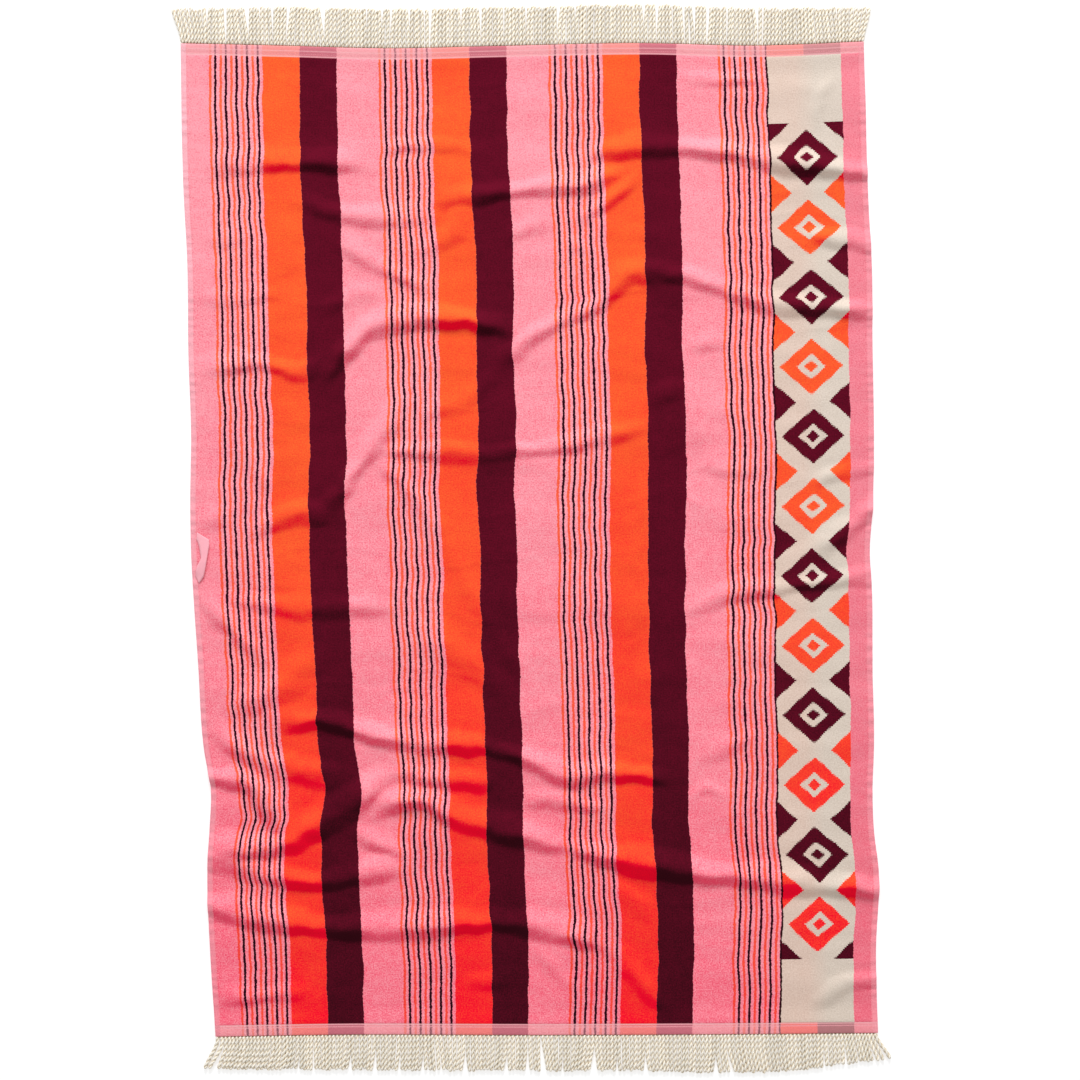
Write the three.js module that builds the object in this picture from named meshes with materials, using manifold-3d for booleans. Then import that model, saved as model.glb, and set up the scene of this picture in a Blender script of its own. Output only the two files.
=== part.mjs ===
// Striped bath and beach sheet with roped fringes, lying flat with its wrinkles.
// Millimetres, +Z up, underside at z = 0. The towel's length runs along Y.
// Every table is in the towel's own plane, with x and y as seen from straight above.

import * as THREE from 'three';
import { mergeVertices } from 'three/addons/utils/BufferGeometryUtils.js';
import Module from 'manifold-3d';

const wasm = await Module();
wasm.setup();

// Driving dimensions of the cloth
const CUT_WIDTH = 1000;
const PILE_THICKNESS = 3.0;
const SIDE_HEM = 9;
const SIDE_HEM_THICKNESS = 2.2;
const END_HEM = 18;
const END_HEM_THICKNESS = 1.4;

// Driving dimensions of the fringe trimming, whose heading tape is sewn under the end hem
const TAPE_THICKNESS = 1.2;
const TAPE_UNDER_HEM = 10;
const TAPE_BEYOND_HEM = 2.4;
const TAPE_END_MARGIN = 1.5;
const SEWN_GAP = 0.3;
const ROPE_START = 0.8;
const ROPE_WIDTH = 5.2;
const ROPE_TIP_WIDTH = 4.6;
const ROPE_HEIGHT = 4.5;
const ROPE_PITCH = 8.6;

// Driving dimensions of the hanging loop
const LOOP_THICKNESS = 1.0;

// Resolution of the sheet: the slanting wrinkles lie in the left half, which has the closer columns
const COLUMN_BANDS = [
  { from: SIDE_HEM, to: 540, cells: 14 },
  { from: 540, to: CUT_WIDTH - SIDE_HEM, cells: 6 },
];
const ROWS = 92;
const CREST_STEPS = 20;
const TAPE_STEPS = 12;
const FOLD_FADE = 45;
const RIDGE_JOIN_POWER = 3;
const SNAP_SHARE = 0.45;

// Where the two long edges lie, from the top hem to the bottom hem
const SIDE_EDGES = [
  { y: 727, left: -526, right: 474 },
  { y: 630, left: -525, right: 477 },
  { y: 513, left: -522, right: 480 },
  { y: 396, left: -516, right: 486 },
  { y: 278, left: -515, right: 487 },
  { y: 161, left: -511, right: 489 },
  { y: 44, left: -512, right: 487 },
  { y: -15, left: -511, right: 483 },
  { y: -73, left: -508, right: 486 },
  { y: -190, left: -500, right: 487 },
  { y: -308, left: -492, right: 489 },
  { y: -366, left: -482, right: 487 },
  { y: -425, left: -484, right: 489 },
  { y: -484, left: -487, right: 496 },
  { y: -601, left: -483, right: 492 },
  { y: -727, left: -475, right: 495 },
];

// Where the two hemmed ends lie
const TOP_END = [
  { x: -527, y: 727 },
  { x: -380, y: 723.5 },
  { x: -220, y: 719.5 },
  { x: -60, y: 723 },
  { x: 150, y: 727 },
  { x: 320, y: 723.5 },
  { x: 474, y: 729.5 },
];
const BOTTOM_END = [
  { x: -476, y: -727 },
  { x: -300, y: -724 },
  { x: 0, y: -724.5 },
  { x: 250, y: -723.5 },
  { x: 496, y: -721.5 },
];

// Main wrinkles: crest line, height, and how far the slope reaches to +Y (above) and -Y (below)
const FOLDS = [
  { crest: [[-505, 547], [-418, 552], [-329, 553], [-232, 556]], rise: 8, above: 26, below: 14 },
  { crest: [[-253, 573], [-156, 579], [-107, 574], [-62, 552]], rise: 4, above: 18, below: 14 },
  { crest: [[52, 540], [86, 566], [162, 576], [259, 569], [363, 552], [530, 532]], rise: 10, above: 22, below: 15 },
  { crest: [[-190, 495], [-73, 507], [31, 519], [86, 527], [150, 551]], rise: 9, above: 22, below: 14 },
  { crest: [[-376, 512], [-301, 478], [-225, 473], [-136, 483]], rise: 6, above: 20, below: 14 },
  { crest: [[-310, 453], [-246, 408], [-150, 362]], rise: 6, above: 18, below: 14 },
  { crest: [[40, 455], [100, 498], [155, 543]], rise: 5, above: 16, below: 14 },
  { crest: [[-521, 246], [-418, 261], [-349, 245], [-290, 280]], rise: 6, above: 20, below: 14 },
  { crest: [[-306, 245], [-253, 305], [-190, 324], [-114, 323], [-20, 302]], rise: 10, above: 22, below: 14 },
  { crest: [[-196, 178], [-107, 208], [-38, 277], [45, 324], [93, 353], [129, 395]], rise: 7, above: 20, below: 14 },
  { crest: [[66, 372], [142, 395], [218, 389], [321, 350], [397, 334], [530, 318]], rise: 9, above: 22, below: 14 },
  { crest: [[-330, 15], [-280, 90], [-246, 139], [-190, 222]], rise: 9, above: 20, below: 16 },
  { crest: [[-252, 133], [-142, 130], [-59, 128], [66, 147], [182, 174]], rise: 7, above: 18, below: 14 },
  { crest: [[-435, 3], [-363, 39], [-284, 33]], rise: 7, above: 20, below: 14 },
  { crest: [[-245, 130], [-183, 63], [-132, -10]], rise: 5, above: 16, below: 14 },
  { crest: [[377, 450], [432, 442], [530, 428]], rise: 6, above: 18, below: 14 },
  { crest: [[377, -32], [446, 14], [520, 75]], rise: 7, above: 22, below: 14 },
  { crest: [[-477, -84], [-349, -98], [-225, -99], [-163, -136], [-87, -193], [-18, -262]], rise: 7, above: 20, below: 14 },
  { crest: [[-503, -60], [-453, -127], [-389, -185]], rise: 5, above: 18, below: 14 },
  { crest: [[-480, -255], [-391, -220], [-310, -150]], rise: 5, above: 18, below: 14 },
  { crest: [[-421, -274], [-329, -262], [-246, -284], [-170, -293], [-87, -298]], rise: 8, above: 20, below: 14 },
  { crest: [[-120, -291], [-11, -328], [45, -345], [107, -339], [220, -354]], rise: 9, above: 20, below: 14 },
  { crest: [[-497, -250], [-418, -310], [-298, -339]], rise: 6, above: 18, below: 14 },
  { crest: [[-238, -338], [-142, -348], [-49, -357]], rise: 6, above: 16, below: 14 },
  { crest: [[-520, -452], [-384, -438], [-322, -407], [-259, -369], [-198, -318]], rise: 12, above: 26, below: 16 },
  { crest: [[-530, -347], [-439, -352], [-398, -386], [-370, -451]], rise: 10, above: 20, below: 14 },
  { crest: [[-530, -452], [-432, -478], [-336, -500], [-266, -487], [-174, -475]], rise: 8, above: 20, below: 14 },
  { crest: [[-283, -402], [-183, -381], [-114, -409], [-17, -435], [66, -457]], rise: 11, above: 26, below: 16 },
  { crest: [[20, -447], [66, -457], [204, -482], [328, -503], [411, -514], [540, -522]], rise: 12, above: 26, below: 16 },
  { crest: [[-286, -420], [-232, -445], [-177, -470]], rise: 6, above: 16, below: 14 },
  { crest: [[-530, -526], [-363, -561], [-259, -568], [-170, -565], [-73, -558], [17, -570], [124, -600]], rise: 11, above: 26, below: 16 },
  { crest: [[90, -580], [135, -628], [190, -697]], rise: 5, above: 16, below: 14 },
  { crest: [[191, -112], [273, -74], [363, -66], [530, -44]], rise: 6, above: 16, below: 12 },
];

// Gaps between the locks of rope: place at the hem, and the gap's two sides at the tips
const TOP_GAPS = [
  { root: -526, left: -541, right: -541 },
  { root: -460, left: -464, right: -459 },
  { root: -426, left: -433, right: -425 },
  { root: -372, left: -371, right: -366 },
  { root: -315, left: -323, right: -314 },
  { root: -233, left: -233, right: -228 },
  { root: -190, left: -194, right: -190 },
  { root: -161, left: -163, right: -158 },
  { root: -86, left: -90, right: -85 },
  { root: -21, left: -23, right: -18 },
  { root: 25, left: 25, right: 30 },
  { root: 170, left: 168, right: 174 },
  { root: 226, left: 222, right: 227 },
  { root: 273, left: 272, right: 277 },
  { root: 325, left: 323, right: 328 },
  { root: 437, left: 431, right: 436 },
  { root: 474, left: 485, right: 485 },
];
const BOTTOM_GAPS = [
  { root: -475, left: -494, right: -494 },
  { root: -455, left: -480, right: -468 },
  { root: -332, left: -335, right: -330 },
  { root: -277, left: -281, right: -275 },
  { root: -240, left: -245, right: -239 },
  { root: -204, left: -209, right: -204 },
  { root: -149, left: -147, right: -142 },
  { root: -108, left: -114, right: -105 },
  { root: -48, left: -53, right: -46 },
  { root: 1, left: 1, right: 9 },
  { root: 80, left: 73, right: 84 },
  { root: 155, left: 152, right: 158 },
  { root: 274, left: 278, right: 285 },
  { root: 416, left: 414, right: 419 },
  { root: 444, left: 446, right: 451 },
  { root: 479, left: 489, right: 494 },
  { root: 494, left: 516, right: 516 },
];
const TOP_REACH = [
  { x: -527, length: 51 },
  { x: -400, length: 56 },
  { x: 0, length: 56 },
  { x: 300, length: 55 },
  { x: 474, length: 50 },
];
const BOTTOM_REACH = [
  { x: -476, length: 46 },
  { x: -300, length: 52 },
  { x: 100, length: 53 },
  { x: 400, length: 52 },
  { x: 496, length: 36 },
];

// Hanging loop: the tape's edge beside the hem, its far edge, and its height above the cloth
const LOOP_SECTIONS = [
  { inner: [-502.5, -1.0], outer: [-502.0, 11.5], lift: 0.3 },
  { inner: [-499.2, -4.4], outer: [-485.3, 0.7], lift: 2.2 },
  { inner: [-497.4, -16.1], outer: [-484.6, -11.7], lift: 2.8 },
  { inner: [-495.8, -29.3], outer: [-486.4, -30.2], lift: 2.8 },
  { inner: [-498.9, -37.5], outer: [-490.1, -44.0], lift: 2.0 },
  { inner: [-502.5, -43.5], outer: [-493.4, -55.0], lift: 1.0 },
  { inner: [-504.5, -52.0], outer: [-499.0, -63.5], lift: 0.3 },
];

const COLOURS = {
  cloth: 0xf2788f,
  rope: 0xece4cf,
  loop: 0xfaa9b6,
};

// Smooth value of one column of a table at a place along another column
function along(table, key, column, at) {
  const rising = table[0][key] < table[table.length - 1][key];
  const rows = rising ? table : [...table].reverse();
  const last = rows.length - 1;
  const place = THREE.MathUtils.clamp(at, rows[0][key], rows[last][key]);
  let i = 0;
  while (i < last - 1 && rows[i + 1][key] < place) i += 1;
  const slopeAt = (k) => {
    const before = rows[Math.max(k - 1, 0)];
    const after = rows[Math.min(k + 1, last)];
    return (after[column] - before[column]) / (after[key] - before[key]);
  };
  const span = rows[i + 1][key] - rows[i][key];
  const t = (place - rows[i][key]) / span;
  const start = rows[i][column] * (1 + 2 * t) * (1 - t) ** 2;
  const end = rows[i + 1][column] * (3 - 2 * t) * t ** 2;
  const bend = slopeAt(i) * t * (1 - t) ** 2 - slopeAt(i + 1) * (1 - t) * t ** 2;
  return start + end + bend * span;
}

const topEdge = (x) => along(TOP_END, 'x', 'y', x);
const bottomEdge = (x) => along(BOTTOM_END, 'x', 'y', x);

// Each fold's crest as a smooth line, with the distance run so far at each point
const crests = FOLDS.map((fold) => {
  const line = new THREE.SplineCurve(fold.crest.map(([x, y]) => new THREE.Vector2(x, y)));
  const points = line.getPoints(CREST_STEPS);
  const run = [0];
  for (let i = 1; i < points.length; i += 1) {
    run.push(run[i - 1] + points[i].distanceTo(points[i - 1]));
  }
  return { ...fold, points, run, total: run[run.length - 1] };
});

// Signed distance from a crest (positive towards +Y), the distance along it and its direction there
function offCrest(crest, x, y) {
  let best = { away: Infinity };
  for (let i = 1; i < crest.points.length; i += 1) {
    const a = crest.points[i - 1];
    const b = crest.points[i];
    const facing = Math.sign(b.x - a.x) || 1;
    const dx = (b.x - a.x) * facing;
    const dy = (b.y - a.y) * facing;
    const length = Math.hypot(dx, dy);
    const t = THREE.MathUtils.clamp(((x - a.x) * dx + (y - a.y) * dy) * facing / length ** 2, 0, 1);
    const toX = x - THREE.MathUtils.lerp(a.x, b.x, t);
    const toY = y - THREE.MathUtils.lerp(a.y, b.y, t);
    const gap = Math.hypot(toX, toY);
    if (gap < Math.abs(best.away)) {
      const side = toY * dx >= toX * dy ? 1 : -1;
      best = { away: side * gap, run: crest.run[i - 1] + t * length, cos: dx / length, sin: dy / length };
    }
  }
  return best;
}

// Height of the cloth's underside above the ground: wrinkles join as softly rounded ridges
function riseAt(x, y) {
  let sum = 0;
  for (const crest of crests) {
    const { away, run } = offCrest(crest, x, y);
    const reach = away > 0 ? crest.above : crest.below;
    if (Math.abs(away) < reach) {
      const slope = (1 + Math.cos((Math.PI * away) / reach)) / 2;
      const fade = THREE.MathUtils.smoothstep(Math.min(run, crest.total - run), 0, FOLD_FADE);
      sum += (crest.rise * slope * fade) ** RIDGE_JOIN_POWER;
    }
  }
  return sum ** (1 / RIDGE_JOIN_POWER);
}

// A grid point close to a crest moves onto it: along Y to a gentle crest, along X to a steep one
function ontoCrest(x, y, pitchX, pitchY) {
  let place = [x, y];
  let nearest = 1;
  for (const crest of crests) {
    const { away, run, cos, sin } = offCrest(crest, x, y);
    if (run > 0 && run < crest.total) {
      const gentle = Math.abs(sin) * pitchX < cos * pitchY;
      const shift = gentle ? -away / cos : away / sin;
      const share = Math.abs(shift) / ((gentle ? pitchY : pitchX) * SNAP_SHARE);
      if (share < nearest) {
        nearest = share;
        place = gentle ? [x, y + shift] : [x + shift, y];
      }
    }
  }
  return place;
}

// Twice the plan area of a triangle, positive when it turns to the left
function turn([ax, ay], [bx, by], [cx, cy]) {
  return (bx - ax) * (cy - ay) - (cx - ax) * (by - ay);
}

// Closed body from a list of points and triangles
function bodyFrom(points, triangles) {
  const geometry = new THREE.BufferGeometry();
  geometry.setAttribute('position', new THREE.Float32BufferAttribute(points.flat(), 3));
  geometry.setIndex(triangles.flat());
  geometry.computeVertexNormals();
  return geometry;
}

// The place of one grid point of the cloth's underside, in plan
function clothPoint(row, rowCount, hemRows, across, column) {
  const share = across[column] / CUT_WIDTH;
  const acrossAt = (y) => THREE.MathUtils.lerp(
    along(SIDE_EDGES, 'y', 'left', y),
    along(SIDE_EDGES, 'y', 'right', y),
    share,
  );
  const fromEnd = Math.min(row, rowCount - 1 - row);
  const roughX = acrossAt(THREE.MathUtils.lerp(BOTTOM_END[0].y, TOP_END[0].y, row / (rowCount - 1)));
  const low = bottomEdge(roughX);
  const high = topEdge(roughX);
  if (fromEnd < hemRows.length) {
    const y = row < rowCount / 2 ? low + hemRows[fromEnd] : high - hemRows[fromEnd];
    return [acrossAt(y), y];
  }
  const y = THREE.MathUtils.lerp(low + END_HEM, high - END_HEM, (row - hemRows.length + 1) / ROWS);
  if (column < 2 || column > across.length - 3) return [acrossAt(y), y];
  const pitchX = Math.min(across[column] - across[column - 1], across[column + 1] - across[column]);
  const pitchY = (high - low - 2 * END_HEM) / ROWS;
  return ontoCrest(acrossAt(y), y, pitchX, pitchY);
}

// The towel cloth: two like grids, one the cloth's thickness above the other, closed at the rim
function clothGeometry() {
  const across = [0];
  for (const band of COLUMN_BANDS) {
    for (let i = 0; i < band.cells; i += 1) {
      across.push(THREE.MathUtils.lerp(band.from, band.to, i / band.cells));
    }
  }
  across.push(CUT_WIDTH - SIDE_HEM, CUT_WIDTH);

  const hemRows = [0, TAPE_UNDER_HEM + SEWN_GAP, END_HEM];
  const rowCount = ROWS + 1 + 2 * (hemRows.length - 1);
  const lower = [];
  const upper = [];
  for (let row = 0; row < rowCount; row += 1) {
    const inHem = Math.min(row, rowCount - 1 - row) < hemRows.length - 1;
    for (let column = 0; column < across.length; column += 1) {
      const [x, y] = clothPoint(row, rowCount, hemRows, across, column);
      const onRim = column === 0 || column === across.length - 1;
      const pile = onRim ? SIDE_HEM_THICKNESS : PILE_THICKNESS;
      const base = Math.max(riseAt(x, y), inHem ? TAPE_THICKNESS + SEWN_GAP : 0);
      lower.push([x, y, base]);
      upper.push([x, y, base + (inHem ? END_HEM_THICKNESS : pile)]);
    }
  }

  const wide = across.length;
  const lift = lower.length;
  const triangles = [];
  for (let row = 0; row < rowCount - 1; row += 1) {
    for (let column = 0; column < wide - 1; column += 1) {
      const a = row * wide + column;
      const [b, c, d] = [a + 1, a + wide + 1, a + wide];
      for (const [p, q, r] of halves(lower, a, b, c, d)) {
        triangles.push([p + lift, q + lift, r + lift], [p, r, q]);
      }
    }
  }
  const rim = [];
  for (let column = 0; column < wide - 1; column += 1) rim.push(column);
  for (let row = 0; row < rowCount - 1; row += 1) rim.push(row * wide + wide - 1);
  for (let column = wide - 1; column > 0; column -= 1) rim.push((rowCount - 1) * wide + column);
  for (let row = rowCount - 1; row > 0; row -= 1) rim.push(row * wide);
  rim.forEach((p, i) => {
    const q = rim[(i + 1) % rim.length];
    triangles.push([p, q, q + lift], [p, q + lift, p + lift]);
  });
  return bodyFrom([...lower, ...upper], triangles);
}

// The two triangles of a grid cell, split along the diagonal that follows the wrinkles better
function halves(points, a, b, c, d) {
  const forward = [[a, b, c], [a, c, d]];
  const backward = [[a, b, d], [b, c, d]];
  const valid = (pair) => pair.every(([p, q, r]) => turn(points[p], points[q], points[r]) > 0);
  if (!valid(forward)) return backward;
  if (!valid(backward)) return forward;
  const missBy = (p, q) => {
    const [x, y, z] = [0, 1, 2].map((axis) => (points[p][axis] + points[q][axis]) / 2);
    return Math.abs(z - riseAt(x, y));
  };
  return missBy(a, c) <= missBy(b, d) ? forward : backward;
}

// Upright prism on a plan outline
function prism(outline, height) {
  const shape = new THREE.Shape(outline.map(([x, y]) => new THREE.Vector2(x, y)));
  return new THREE.ExtrudeGeometry(shape, { depth: height, bevelEnabled: false });
}

function solidFrom(geometry) {
  geometry.deleteAttribute('normal');
  geometry.deleteAttribute('uv');
  const merged = mergeVertices(geometry, 1e-4);
  const mesh = new wasm.Mesh({
    numProp: 3,
    vertProperties: Float32Array.from(merged.attributes.position.array),
    triVerts: Uint32Array.from(merged.index.array),
  });
  return new wasm.Manifold(mesh);
}

function geometryFrom(solid) {
  const mesh = solid.getMesh();
  const geometry = new THREE.BufferGeometry();
  geometry.setAttribute('position', new THREE.BufferAttribute(Float32Array.from(mesh.vertProperties), 3));
  geometry.setIndex(new THREE.BufferAttribute(Uint32Array.from(mesh.triVerts), 1));
  geometry.computeVertexNormals();
  return geometry;
}

// Heading tape: a flat ribbon that follows the hem, half of it under the cloth
function tapeOutline(edge, outward, from, to) {
  const outer = [];
  const inner = [];
  for (let i = 0; i <= TAPE_STEPS; i += 1) {
    const x = THREE.MathUtils.lerp(from + TAPE_END_MARGIN, to - TAPE_END_MARGIN, i / TAPE_STEPS);
    outer.push([x, edge(x) + outward * TAPE_BEYOND_HEM]);
    inner.push([x, edge(x) - outward * TAPE_UNDER_HEM]);
  }
  return [...outer, ...inner.reverse()];
}

// One fringe: ropes grouped in locks, lying on the ground and fused at the root to the tape
function fringeGeometry(edge, outward, gaps, reach) {
  const from = gaps[0].root;
  const to = gaps[gaps.length - 1].root;
  let solid = solidFrom(prism(tapeOutline(edge, outward, from, to), TAPE_THICKNESS));
  for (let i = 1; i < gaps.length; i += 1) {
    const left = gaps[i - 1];
    const right = gaps[i];
    const count = Math.max(1, Math.round((right.root - left.root) / ROPE_PITCH));
    for (let k = 0; k < count; k += 1) {
      const share = (k + 0.5) / count;
      const rootX = THREE.MathUtils.lerp(left.root, right.root, share);
      const slack = ROPE_TIP_WIDTH / 2;
      const tipX = THREE.MathUtils.lerp(left.right + slack, right.left - slack, count > 1 ? k / (count - 1) : 0.5);
      const rootY = edge(rootX) + outward * ROPE_START;
      const tipY = edge(rootX) + outward * along(reach, 'x', 'length', rootX);
      const rope = prism([
        [rootX - ROPE_WIDTH / 2, rootY],
        [rootX + ROPE_WIDTH / 2, rootY],
        [tipX + ROPE_TIP_WIDTH / 2, tipY],
        [tipX - ROPE_TIP_WIDTH / 2, tipY],
      ], ROPE_HEIGHT);
      solid = solid.add(solidFrom(rope));
    }
  }
  return geometryFrom(solid);
}

// Hanging loop: a narrow tape that leaves the side hem, turns a mitred corner and comes back
function loopGeometry() {
  const points = [];
  for (const { inner, outer, lift } of LOOP_SECTIONS) {
    const floor = (x, y) => riseAt(x, y) + PILE_THICKNESS + lift;
    const [a, b] = [[...inner, floor(...inner)], [...outer, floor(...outer)]];
    points.push(a, b, [b[0], b[1], b[2] + LOOP_THICKNESS], [a[0], a[1], a[2] + LOOP_THICKNESS]);
  }
  const corners = 4;
  const last = points.length - corners;
  const triangles = [[0, 2, 1], [0, 3, 2], [last, last + 1, last + 2], [last, last + 2, last + 3]];
  for (let section = 0; section < last; section += corners) {
    for (let k = 0; k < corners; k += 1) {
      const a = section + k;
      const b = section + ((k + 1) % corners);
      triangles.push([a, b, b + corners], [a, b + corners, a + corners]);
    }
  }
  return bodyFrom(points, triangles);
}

function piece(name, geometry, color, roughness) {
  const material = new THREE.MeshStandardMaterial({ color, roughness, metalness: 0 });
  const mesh = new THREE.Mesh(geometry, material);
  mesh.name = name;
  return mesh;
}

const towel = new THREE.Group();
towel.add(piece('cloth', clothGeometry(), COLOURS.cloth, 0.95));
towel.add(piece('fringe_top', fringeGeometry(topEdge, 1, TOP_GAPS, TOP_REACH), COLOURS.rope, 0.9));
towel.add(piece('fringe_bottom', fringeGeometry(bottomEdge, -1, BOTTOM_GAPS, BOTTOM_REACH), COLOURS.rope, 0.9));
towel.add(piece('hang_loop', loopGeometry(), COLOURS.loop, 0.9));

// The origin goes to the middle of the whole towel, on the ground
const extent = new THREE.Box3().setFromObject(towel);
const middle = extent.getCenter(new THREE.Vector3());
towel.position.set(-middle.x, -middle.y, -extent.min.z);

export default towel;
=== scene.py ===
"""A striped velour bath sheet with roped fringes, lying flat with its wrinkles.

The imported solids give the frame. Each class below makes one sub-assembly over its solid: the
cloth, the two fringes with their heading tapes, the hanging loop and the hem stitching. Plan
tables are in millimetres, in the towel's own plane as seen from straight above.
"""

from __future__ import annotations

import logging
import math
import random
from dataclasses import dataclass
from enum import Enum
from typing import Any, Callable, Optional, Sequence, Union

import bmesh
import bpy
import numpy as np
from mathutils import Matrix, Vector, noise

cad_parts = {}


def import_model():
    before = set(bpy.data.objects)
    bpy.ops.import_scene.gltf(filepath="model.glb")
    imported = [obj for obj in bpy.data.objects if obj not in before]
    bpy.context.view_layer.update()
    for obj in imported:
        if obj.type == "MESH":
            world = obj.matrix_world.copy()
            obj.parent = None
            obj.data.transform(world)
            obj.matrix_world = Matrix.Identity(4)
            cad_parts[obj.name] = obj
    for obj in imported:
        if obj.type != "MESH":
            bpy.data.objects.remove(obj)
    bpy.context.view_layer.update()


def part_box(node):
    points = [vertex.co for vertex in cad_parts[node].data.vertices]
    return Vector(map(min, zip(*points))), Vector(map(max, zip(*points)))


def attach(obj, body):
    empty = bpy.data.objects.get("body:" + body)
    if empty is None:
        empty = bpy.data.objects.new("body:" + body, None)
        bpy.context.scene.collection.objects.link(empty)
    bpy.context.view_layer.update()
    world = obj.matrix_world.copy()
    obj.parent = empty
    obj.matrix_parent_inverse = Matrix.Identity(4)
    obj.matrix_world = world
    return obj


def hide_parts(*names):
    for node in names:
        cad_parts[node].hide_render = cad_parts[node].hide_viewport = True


LOG = logging.getLogger("towel")
MM = 0.001
BODY = "root"

Point2 = tuple[float, float]
Colour = tuple[float, float, float, float]
Array = np.ndarray


def linear(red: int, green: int, blue: int) -> Colour:
    """Linear colour of a display colour given from 0 to 255."""
    parts = [channel / 255 for channel in (red, green, blue)]
    light = [c / 12.92 if c <= 0.04045 else ((c + 0.055) / 1.055) ** 2.4 for c in parts]
    return (light[0], light[1], light[2], 1.0)


def smooth_between(keys: Sequence[float], values: Sequence[float], at: Array) -> Array:
    """Smooth curve through a short table.

    Args:
        keys: Places of the table's rows, rising.
        values: Value at each place.
        at: Places to read, held within the table.

    Returns:
        The curve's value at each place.
    """
    key = np.asarray(keys, float)
    value = np.asarray(values, float)
    slope = np.gradient(value, key)
    place = np.clip(at, key[0], key[-1])
    i = np.clip(np.searchsorted(key, place) - 1, 0, len(key) - 2)
    span = key[i + 1] - key[i]
    t = (place - key[i]) / span
    start = value[i] * (1 + 2 * t) * (1 - t) ** 2
    end = value[i + 1] * (3 - 2 * t) * t**2
    bend = slope[i] * t * (1 - t) ** 2 - slope[i + 1] * (1 - t) * t**2
    return start + end + bend * span


def ramp(at: Array, low: float, high: float) -> Array:
    """Smooth step from 0 at low to 1 at high, for arrays or numbers."""
    t = np.clip((np.asarray(at, float) - low) / (high - low), 0, 1)
    return t * t * (3 - 2 * t)


def drift(x: Array, y: Array, seed: float) -> Array:
    """Smooth random field over the plane, about -0.5 to 0.5, with features one unit wide."""
    values = [noise.noise(Vector((a, b, seed))) for a, b in zip(x.ravel(), y.ravel())]
    return np.array(values).reshape(x.shape)


def add_object(name: str, data: Any) -> bpy.types.Object:
    """New object at the origin with the given data, linked to the scene."""
    made = bpy.data.objects.new(name, data)
    bpy.context.scene.collection.objects.link(made)
    return made


def mesh_object(name: str, points: Array, polygons: Sequence[Array]) -> bpy.types.Object:
    """Object at the origin from points in metres.

    Args:
        name: Name of the object and its mesh.
        points: Vertex places, one row each.
        polygons: Vertex numbers of the faces, in arrays that each hold faces of one kind.

    Returns:
        The linked object.
    """
    corners = np.concatenate([faces.ravel() for faces in polygons]).astype(np.int32)
    sides = np.concatenate([np.full(len(faces), faces.shape[1]) for faces in polygons])
    starts = np.concatenate([[0], np.cumsum(sides)[:-1]]).astype(np.int32)
    mesh = bpy.data.meshes.new(name)
    mesh.vertices.add(len(points))
    mesh.vertices.foreach_set("co", points.astype(np.float32).ravel())
    mesh.loops.add(len(corners))
    mesh.loops.foreach_set("vertex_index", corners)
    mesh.polygons.add(len(starts))
    mesh.polygons.foreach_set("loop_start", starts)
    mesh.update(calc_edges=True)
    mesh.validate()
    return add_object(name, mesh)


def lines_object(name: str, lines: Sequence[Array]) -> bpy.types.Object:
    """Object with edges only: one chain along each line of points in metres."""
    edges: list[tuple[int, int]] = []
    start = 0
    for line in lines:
        edges += [(start + i, start + i + 1) for i in range(len(line) - 1)]
        start += len(line)
    mesh = bpy.data.meshes.new(name)
    mesh.from_pydata(np.concatenate(lines).tolist(), edges, [])
    return add_object(name, mesh)


def grid_quads(numbers: Array) -> Array:
    """Quads of a grid of vertex numbers, counterclockwise from above."""
    around = (numbers[:-1, :-1], numbers[:-1, 1:], numbers[1:, 1:], numbers[1:, :-1])
    return np.stack([corner.ravel() for corner in around], axis=1)


def grid_rim(numbers: Array) -> Array:
    """Vertex numbers around a grid, counterclockwise from its first corner."""
    return np.concatenate([numbers[0, :-1], numbers[:-1, -1], numbers[-1, :0:-1], numbers[:0:-1, 0]])


def shade_smooth(piece: bpy.types.Object) -> None:
    """Smooth shading on every face."""
    piece.data.polygons.foreach_set("use_smooth", [True] * len(piece.data.polygons))


def math_node(operation: str, swapped: bool = False) -> Callable[..., "Value"]:
    """Method that adds one Math node on a value and others; swapped puts the value last."""

    def method(self: "Value", *others: "Number") -> "Value":
        operands = (*others, self) if swapped else (self, *others)
        return self.graph.node("ShaderNodeMath", {"operation": operation}, dict(enumerate(operands)))

    return method


class Value:
    """A node socket that takes part in Python arithmetic; each operator adds one Math node."""

    __add__ = __radd__ = math_node("ADD")
    __sub__ = math_node("SUBTRACT")
    __rsub__ = math_node("SUBTRACT", swapped=True)
    __mul__ = __rmul__ = math_node("MULTIPLY")
    __truediv__ = math_node("DIVIDE")
    __mod__ = math_node("FLOORED_MODULO")
    __pow__ = math_node("POWER")
    __abs__ = math_node("ABSOLUTE")
    floor = math_node("FLOOR")
    sine = math_node("SINE")
    least = math_node("MINIMUM")

    def __init__(self, graph: "Graph", socket: bpy.types.NodeSocket) -> None:
        """Wrap an output socket of a graph."""
        self.graph = graph
        self.socket = socket

    def clamped(self) -> "Value":
        """This value held from 0 to 1."""
        settings = {"operation": "ADD", "use_clamp": True}
        return self.graph.node("ShaderNodeMath", settings, {0: self, 1: 0.0})

    def below(self, edge: "Number", soft: float) -> "Value":
        """1 below an edge and 0 above it, over a soft width."""
        return ((edge - self) / soft + 0.5).clamped()

    def bar(self, centre: float, half: float, soft: float) -> "Value":
        """1 within half of a centre and 0 outside, with soft edges."""
        return abs(self - centre).below(half, soft)

    def output(self, name: str) -> "Value":
        """Another output of the same node."""
        return Value(self.graph, self.socket.node.outputs[name])


Number = Union[Value, float]


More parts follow.
